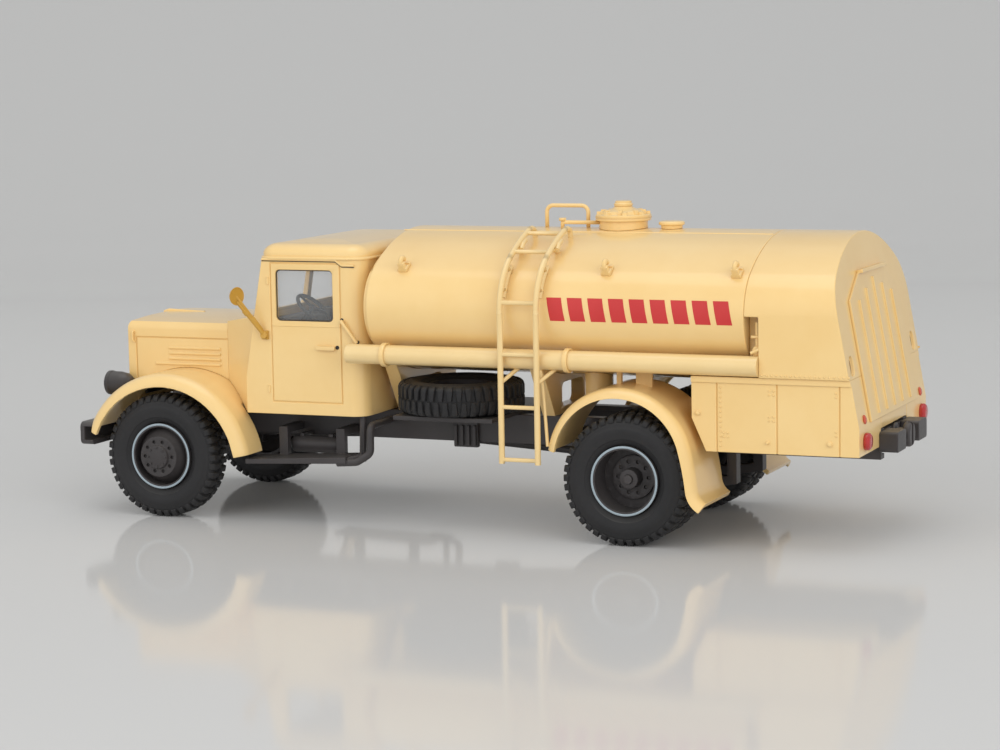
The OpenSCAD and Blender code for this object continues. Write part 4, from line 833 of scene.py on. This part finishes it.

# clamps and knob of the manhole lid, and a darker ring at the flange's foot: a joint line with painted shadow under the
# rim
lidLook = dict(clamps=8, clampRing=4.0, clampTurn=0.2, clampUp=0.75, clampLow=(-0.75, -0.5, -0.2),
               clampHigh=(0.75, 0.5, 0.85), clampTaper=0.12, clampEdge=0.12, knobDown=0.55,
               knob=((0, -0.5), (1.9, -0.5), (1.95, -0.1), (1.7, 0.1), (1.7, 0.42), (1.45, 0.55), (0, 0.5)),
               jointShade=((5.5, -0.07), (5.76, -0.07), (5.76, 0.07), (5.5, 0.07)))
lidLow, lidHigh = boxMm("manhole_lid")


def onLid(mesh, z):
    return turned(mesh, Matrix.Translation(spot((lidLow.x + lidHigh.x) / 2, (lidLow.y + lidHigh.y) / 2, z)))


clamp = softened(block(lidLook["clampLow"], lidLook["clampHigh"], lidLook["clampTaper"]), lidLook["clampEdge"])
clamps = ring(clamp, lidLook["clamps"], lidLook["clampRing"], lidLook["clampTurn"])
fitting("lidFittings", [onLid(clamps, lidLow.z + lidLook["clampUp"]),
                        onLid(revolved(lidLook["knob"], 40), lidHigh.z - lidLook["knobDown"])],
        "creamPaint", "cream_paint")
# painted shadow: a thin darker ring under the flange rim
fitting("lidJoint", [onLid(revolved(lidLook["jointShade"], 72, closed=True), lidLow.z)], "paintedShadeCream", "cream_paint")

# drain valve beside the cabinet: pipe, tap and lever
valveLook = dict(pipe=0.42, lever=0.3, inset=0.9,
                 tap=((0, -0.5), (0.8, -0.4), (1.05, 0.3), (1.05, 0.8), (0.7, 1.4), (0, 1.5)),
                 bars=(("pipe", (0, 0, 0), (0, 0, 6)), ("pipe", (0, 0, 0.6), (0, 1.5, 0.6)),
                       ("lever", (-0.8, 1.5, 1.0), (0.9, 1.5, 0.2)), ("lever", (-0.8, 0.4, 3.2), (1.1, 0.4, 3.2))))
valve = boxMm("drain_valve")[0] + Vector((valveLook["inset"], valveLook["inset"], 0))
valveBars = [([valve + Vector(end) for end in ends], valveLook[kind], 0) for kind, *ends in valveLook["bars"]]
tap = turned(revolved(valveLook["tap"], 32), Matrix.Translation(spot(*valve)))
standIn("drainValve", joined([tap] + sideBars(valveBars, (1,))), "creamPaint", "drain_valve")

# painted shade: brown discs on the floors of the hand holes in the leaning rear face stand in for the shade inside the
# recesses
holeLook = dict(wide=1.12, tall=1.75, deep=0.62, lean=10.5, inset=3.8, up=6.1, hinge=5.4,
                profile=((0, -0.04), (1, -0.04), (1, 0.04), (0, 0.04)))
hingeZ = boxMm("side_boxes")[0].z + holeLook["hinge"]
leaning = (Matrix.Translation(spot(boxMm("rear_cabinet")[0].x, 0, hingeZ))
           @ Matrix.Rotation(math.radians(holeLook["lean"]), 4, "Y"))
upright = Matrix.Rotation(math.radians(90), 4, "Y") @ Matrix.Diagonal((holeLook["tall"], holeLook["wide"], 1, 1))
meshes = []
for side in bothSides:
    across = side * (tankHigh.y - holeLook["inset"])
    inFace = Vector((holeLook["deep"], across, tankLow.z + holeLook["up"] - hingeZ)) * mm
    meshes.append(turned(revolved(holeLook["profile"], 32), leaning @ Matrix.Translation(inFace) @ upright))
fitting("holeFloors", meshes, "recessShadeBrown", "cream_paint")

# curled ends of the lifting hooks: along the flank and out of it
hookLook = dict(places=(tankHigh.x - 8.1, 5.1, -21.6), up=54, radius=0.5, bend=0.7,
                curl=((-0.8, 0.2), (-0.9, 2.3), (0.4, 2.7), (0.9, 1.5)))
hookTurn = math.radians(hookLook["up"])
hookBars = []
for x in hookLook["places"]:
    line = []
    for along, out in hookLook["curl"]:
        y, z = tankFlank(hookLook["up"], out)
        line.append((x, y - along * math.sin(hookTurn), z + along * math.cos(hookTurn)))
    hookBars.append((line, hookLook["radius"], hookLook["bend"]))
fitting("hookEnds", sideBars(hookBars), "creamPaint", "cream_paint")

# weld beads along the tank's top
beadBars = [(((56.5, 6.0, 59.93), (-23.6, 6.0, 59.93)), 0.12, 0)]
fitting("tankBeads", sideBars(beadBars), "creamPaint", "cream_paint")

# finned radiator core behind the grille bars
coreLook = dict(fins=34, deep=0.5, inset=1.4, behind=0.9, thick=0.5, edge=0.1, lap=0.05, finHalf=0.12, finShort=0.3,
                margin=0.4)


def radiatorCore():
    look = coreLook
    low, high = boxMm("radiator_grille")
    x, half = low.x - look["behind"], high.y - look["inset"]
    bottom, top = low.z + look["inset"], high.z - look["inset"]
    plate = softened(block((x - look["thick"], -half, bottom), (x, half, top)), look["edge"])
    fin = block((x - look["lap"], -look["finHalf"], bottom + look["finShort"]),
                (x + look["deep"], look["finHalf"], top - look["finShort"]))
    reach = half - look["margin"]
    fins = row(fin, look["fins"], Vector((0, -reach, 0)) * mm, (0, 2 * reach / (look["fins"] - 1), 0))
    return [toSide(plate), toSide(fins)]


fitting("radiatorCore", radiatorCore(), "chassisBlack", "chassis_black")
print("small fittings added")

# roof: a rounded cap over its drip rail
roofLook = dict(round=3.4, crown=0.55, corner=3.6, rail=0.35, wall=0.9, steps=9, crownSteps=5, cornerSteps=8,
                sharpest=0.35, flatHalf=1.0)


def roundedOutline(x0, x1, half, radius):
    points = []
    for cx, cy, start in ((x1 - radius, half - radius, 0), (x0 + radius, half - radius, 90),
                          (x0 + radius, radius - half, 180), (x1 - radius, radius - half, 270)):
        for step in range(roofLook["cornerSteps"] + 1):
            angle = math.radians(start + 90 * step / roofLook["cornerSteps"])
            points.append((cx + radius * math.cos(angle), cy + radius * math.sin(angle)))
    return points


def roofMesh():
    low, high = boxMm("cab_roof")
    rail, turn, crown, wall = (roofLook[key] for key in ("rail", "round", "crown", "wall"))
    x0, x1, half, tall = low.x, high.x - rail, high.y - rail, high.z - low.z
    levels = [(1.2, 0.8), (1.2, 0), (-rail, 0), (-rail - 0.06, 0.28), (-rail + 0.08, 0.52), (0.02, 0.58), (0, wall)]
    for step in range(1, roofLook["steps"] + 1):
        angle = math.radians(90 * step / roofLook["steps"])
        levels.append((turn * (1 - math.cos(angle)), wall + (tall - wall - crown) * math.sin(angle)))
    deep = (x1 - x0) / 2 - roofLook["flatHalf"]
    for step in range(1, roofLook["crownSteps"] + 1):
        share = step / roofLook["crownSteps"]
        levels.append((turn + (deep - turn) * share, tall - crown + crown * math.sin(math.radians(90 * share))))
    loops = []
    for inset, up in levels:
        radius = max(roofLook["corner"] - inset, roofLook["sharpest"])
        outline = roundedOutline(x0 + inset, x1 - inset, half - inset, radius)
        loops.append([spot(x, y, low.z + up) for x, y in outline])
    return smoothByAngle(shell(loops), 42)


standIn("roofCap", roofMesh(), "creamPaint", "cab_roof")

# mirror arms with their foot and collar
mirrorLook = dict(arm=0.4, collar=0.56, foot=0.75, headTall=3.6, footTall=1.4, drop=1.0, collarAt=(0.62, 0.74),
                  footEnds=((-0.9, -0.2), (0.5, 0.2)))


def mirrorStay(side):
    look = mirrorLook
    low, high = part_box("mirrors")
    points = [vertex.co.copy() for vertex in frame["nodes"]["mirrors"].data.vertices if vertex.co.y * side > 0]
    head = [point for point in points if point.z > high.z - look["headTall"] * mm]
    foot = [point for point in points if point.z < low.z + look["footTall"] * mm]
    footMid = sum(foot, Vector()) / len(foot)
    headMid = sum(head, Vector()) / len(head) - Vector((0, 0, look["drop"] * mm))
    collar = [footMid.lerp(headMid, share) for share in look["collarAt"]]
    ends = [footMid + Vector((0, y * side, z)) * mm for y, z in look["footEnds"]]
    return [bar(line, look[kind])
            for line, kind in (([footMid, headMid], "arm"), (collar, "collar"), (ends, "foot"))]


fitting("mirrorStays", mirrorStay(1) + mirrorStay(-1), "mirrorOchre", "mirror_ochre")
print("roof and mirror arms made")

# camera fitted to the wheels, the frame and the tank; place in mm from the rear axle
cameraLook = dict(place=(-180.7, 515.7, 98.9), yaw=22.98, pitch=7.09, roll=-1.01, lens=96.98, sensor=36.0, near=0.01,
                  far=20.0)


def photoCamera():
    data = bpy.data.cameras.new("photoCamera")
    data.lens = cameraLook["lens"]
    data.sensor_width = cameraLook["sensor"]
    data.clip_start = cameraLook["near"]
    data.clip_end = cameraLook["far"]
    yaw, pitch, roll = (math.radians(cameraLook[key]) for key in ("yaw", "pitch", "roll"))
    ahead = Vector((math.sin(yaw) * math.cos(pitch), -math.cos(yaw) * math.cos(pitch), -math.sin(pitch)))
    right = ahead.cross(Vector((0, 0, 1))).normalized()
    up = right.cross(ahead)
    rolledRight = right * math.cos(roll) + up * math.sin(roll)
    rolledUp = up * math.cos(roll) - right * math.sin(roll)
    turn = Matrix((rolledRight, rolledUp, -ahead)).transposed().to_4x4()
    camera = bpy.data.objects.new("photoCamera", data)
    camera.matrix_world = Matrix.Translation(spot(*cameraLook["place"])) @ turn
    bpy.context.scene.collection.objects.link(camera)
    bpy.context.scene.camera = camera


# stage: one seamless pale sheet, floor and backdrop, square to the camera
stageLook = dict(colour=(209, 208, 206), rough=0.09, roughSpread=0.03, gloss=0.13, front=2600.0, back=1500.0,
                 rise=1300.0, bend=1000.0, bendSteps=16, half=2600.0)


def stageSheet():
    look = stageLook
    material, tree, shader = newMaterial("paleStage")
    haze = noiseNode(tree, 6.0, 3.0)
    band = addNode(tree, "ShaderNodeMapRange", {
        "Value": haze.outputs["Fac"], "To Min": look["rough"] - look["roughSpread"],
        "To Max": look["rough"] + look["roughSpread"]})
    setSockets(tree, shader, {"Roughness": band.outputs["Result"], "Base Color": linear(*look["colour"]),
                              "Specular IOR Level": look["gloss"]})
    turn = math.radians(cameraLook["yaw"])
    away = Vector((math.sin(turn), -math.cos(turn), 0))
    across = Vector((away.y, -away.x, 0))
    foot = look["back"] - look["bend"]
    line = [(-look["front"], 0.0), (foot, 0.0)]
    for step in range(1, look["bendSteps"] + 1):
        angle = math.radians(90 * step / look["bendSteps"])
        line.append((foot + look["bend"] * math.sin(angle), look["bend"] * (1 - math.cos(angle))))
    line.append((look["back"], look["rise"]))
    bm = bmesh.new()
    skin(bm, [[bm.verts.new((away * along + across * half + Vector((0, 0, up))) * mm)
               for half in (look["half"], -look["half"])] for along, up in line], closed=False)
    mesh = smoothByAngle(saved(bm), 60)
    mesh.materials.append(material)
    sheet = bpy.data.objects.new("stageSheet", mesh)
    bpy.context.scene.collection.objects.link(sheet)


# soft studio light: place in mm, size in mm, watts; the low lamps don't show as discs in the floor
lightLook = {
    "overhead": dict(place=(60, 120, 1200), aim=(40, 0, 20), size=1000, power=2.35, mirrored=True),
    "leftSoft": dict(place=(-860, 720, 330), aim=(30, 10, 30), size=1150, power=7.1, mirrored=False),
    "frontSoft": dict(place=(560, 1050, 430), aim=(60, 10, 30), size=1200, power=4.9, mirrored=False),
}
worldLook = dict(colour=(236, 238, 240), level=0.735)


def studioLight():
    for name, look in lightLook.items():
        data = bpy.data.lights.new(name, "AREA")
        data.shape = "DISK"
        data.size = look["size"] * mm
        data.energy = look["power"]
        lamp = bpy.data.objects.new(name, data)
        lamp.location = spot(*look["place"])
        lamp.rotation_euler = (spot(*look["aim"]) - lamp.location).to_track_quat("-Z", "Y").to_euler()
        lamp.visible_glossy = look["mirrored"]
        bpy.context.scene.collection.objects.link(lamp)
    world = bpy.data.worlds.new("studio")
    bpy.context.scene.world = world
    world.use_nodes = True
    setSockets(world.node_tree, world.node_tree.nodes["Background"], {
        "Color": linear(*worldLook["colour"]), "Strength": worldLook["level"]})


stageSheet()
photoCamera()
studioLight()
bpy.context.scene.view_settings.view_transform = "Standard"
print("stage, camera and light set")
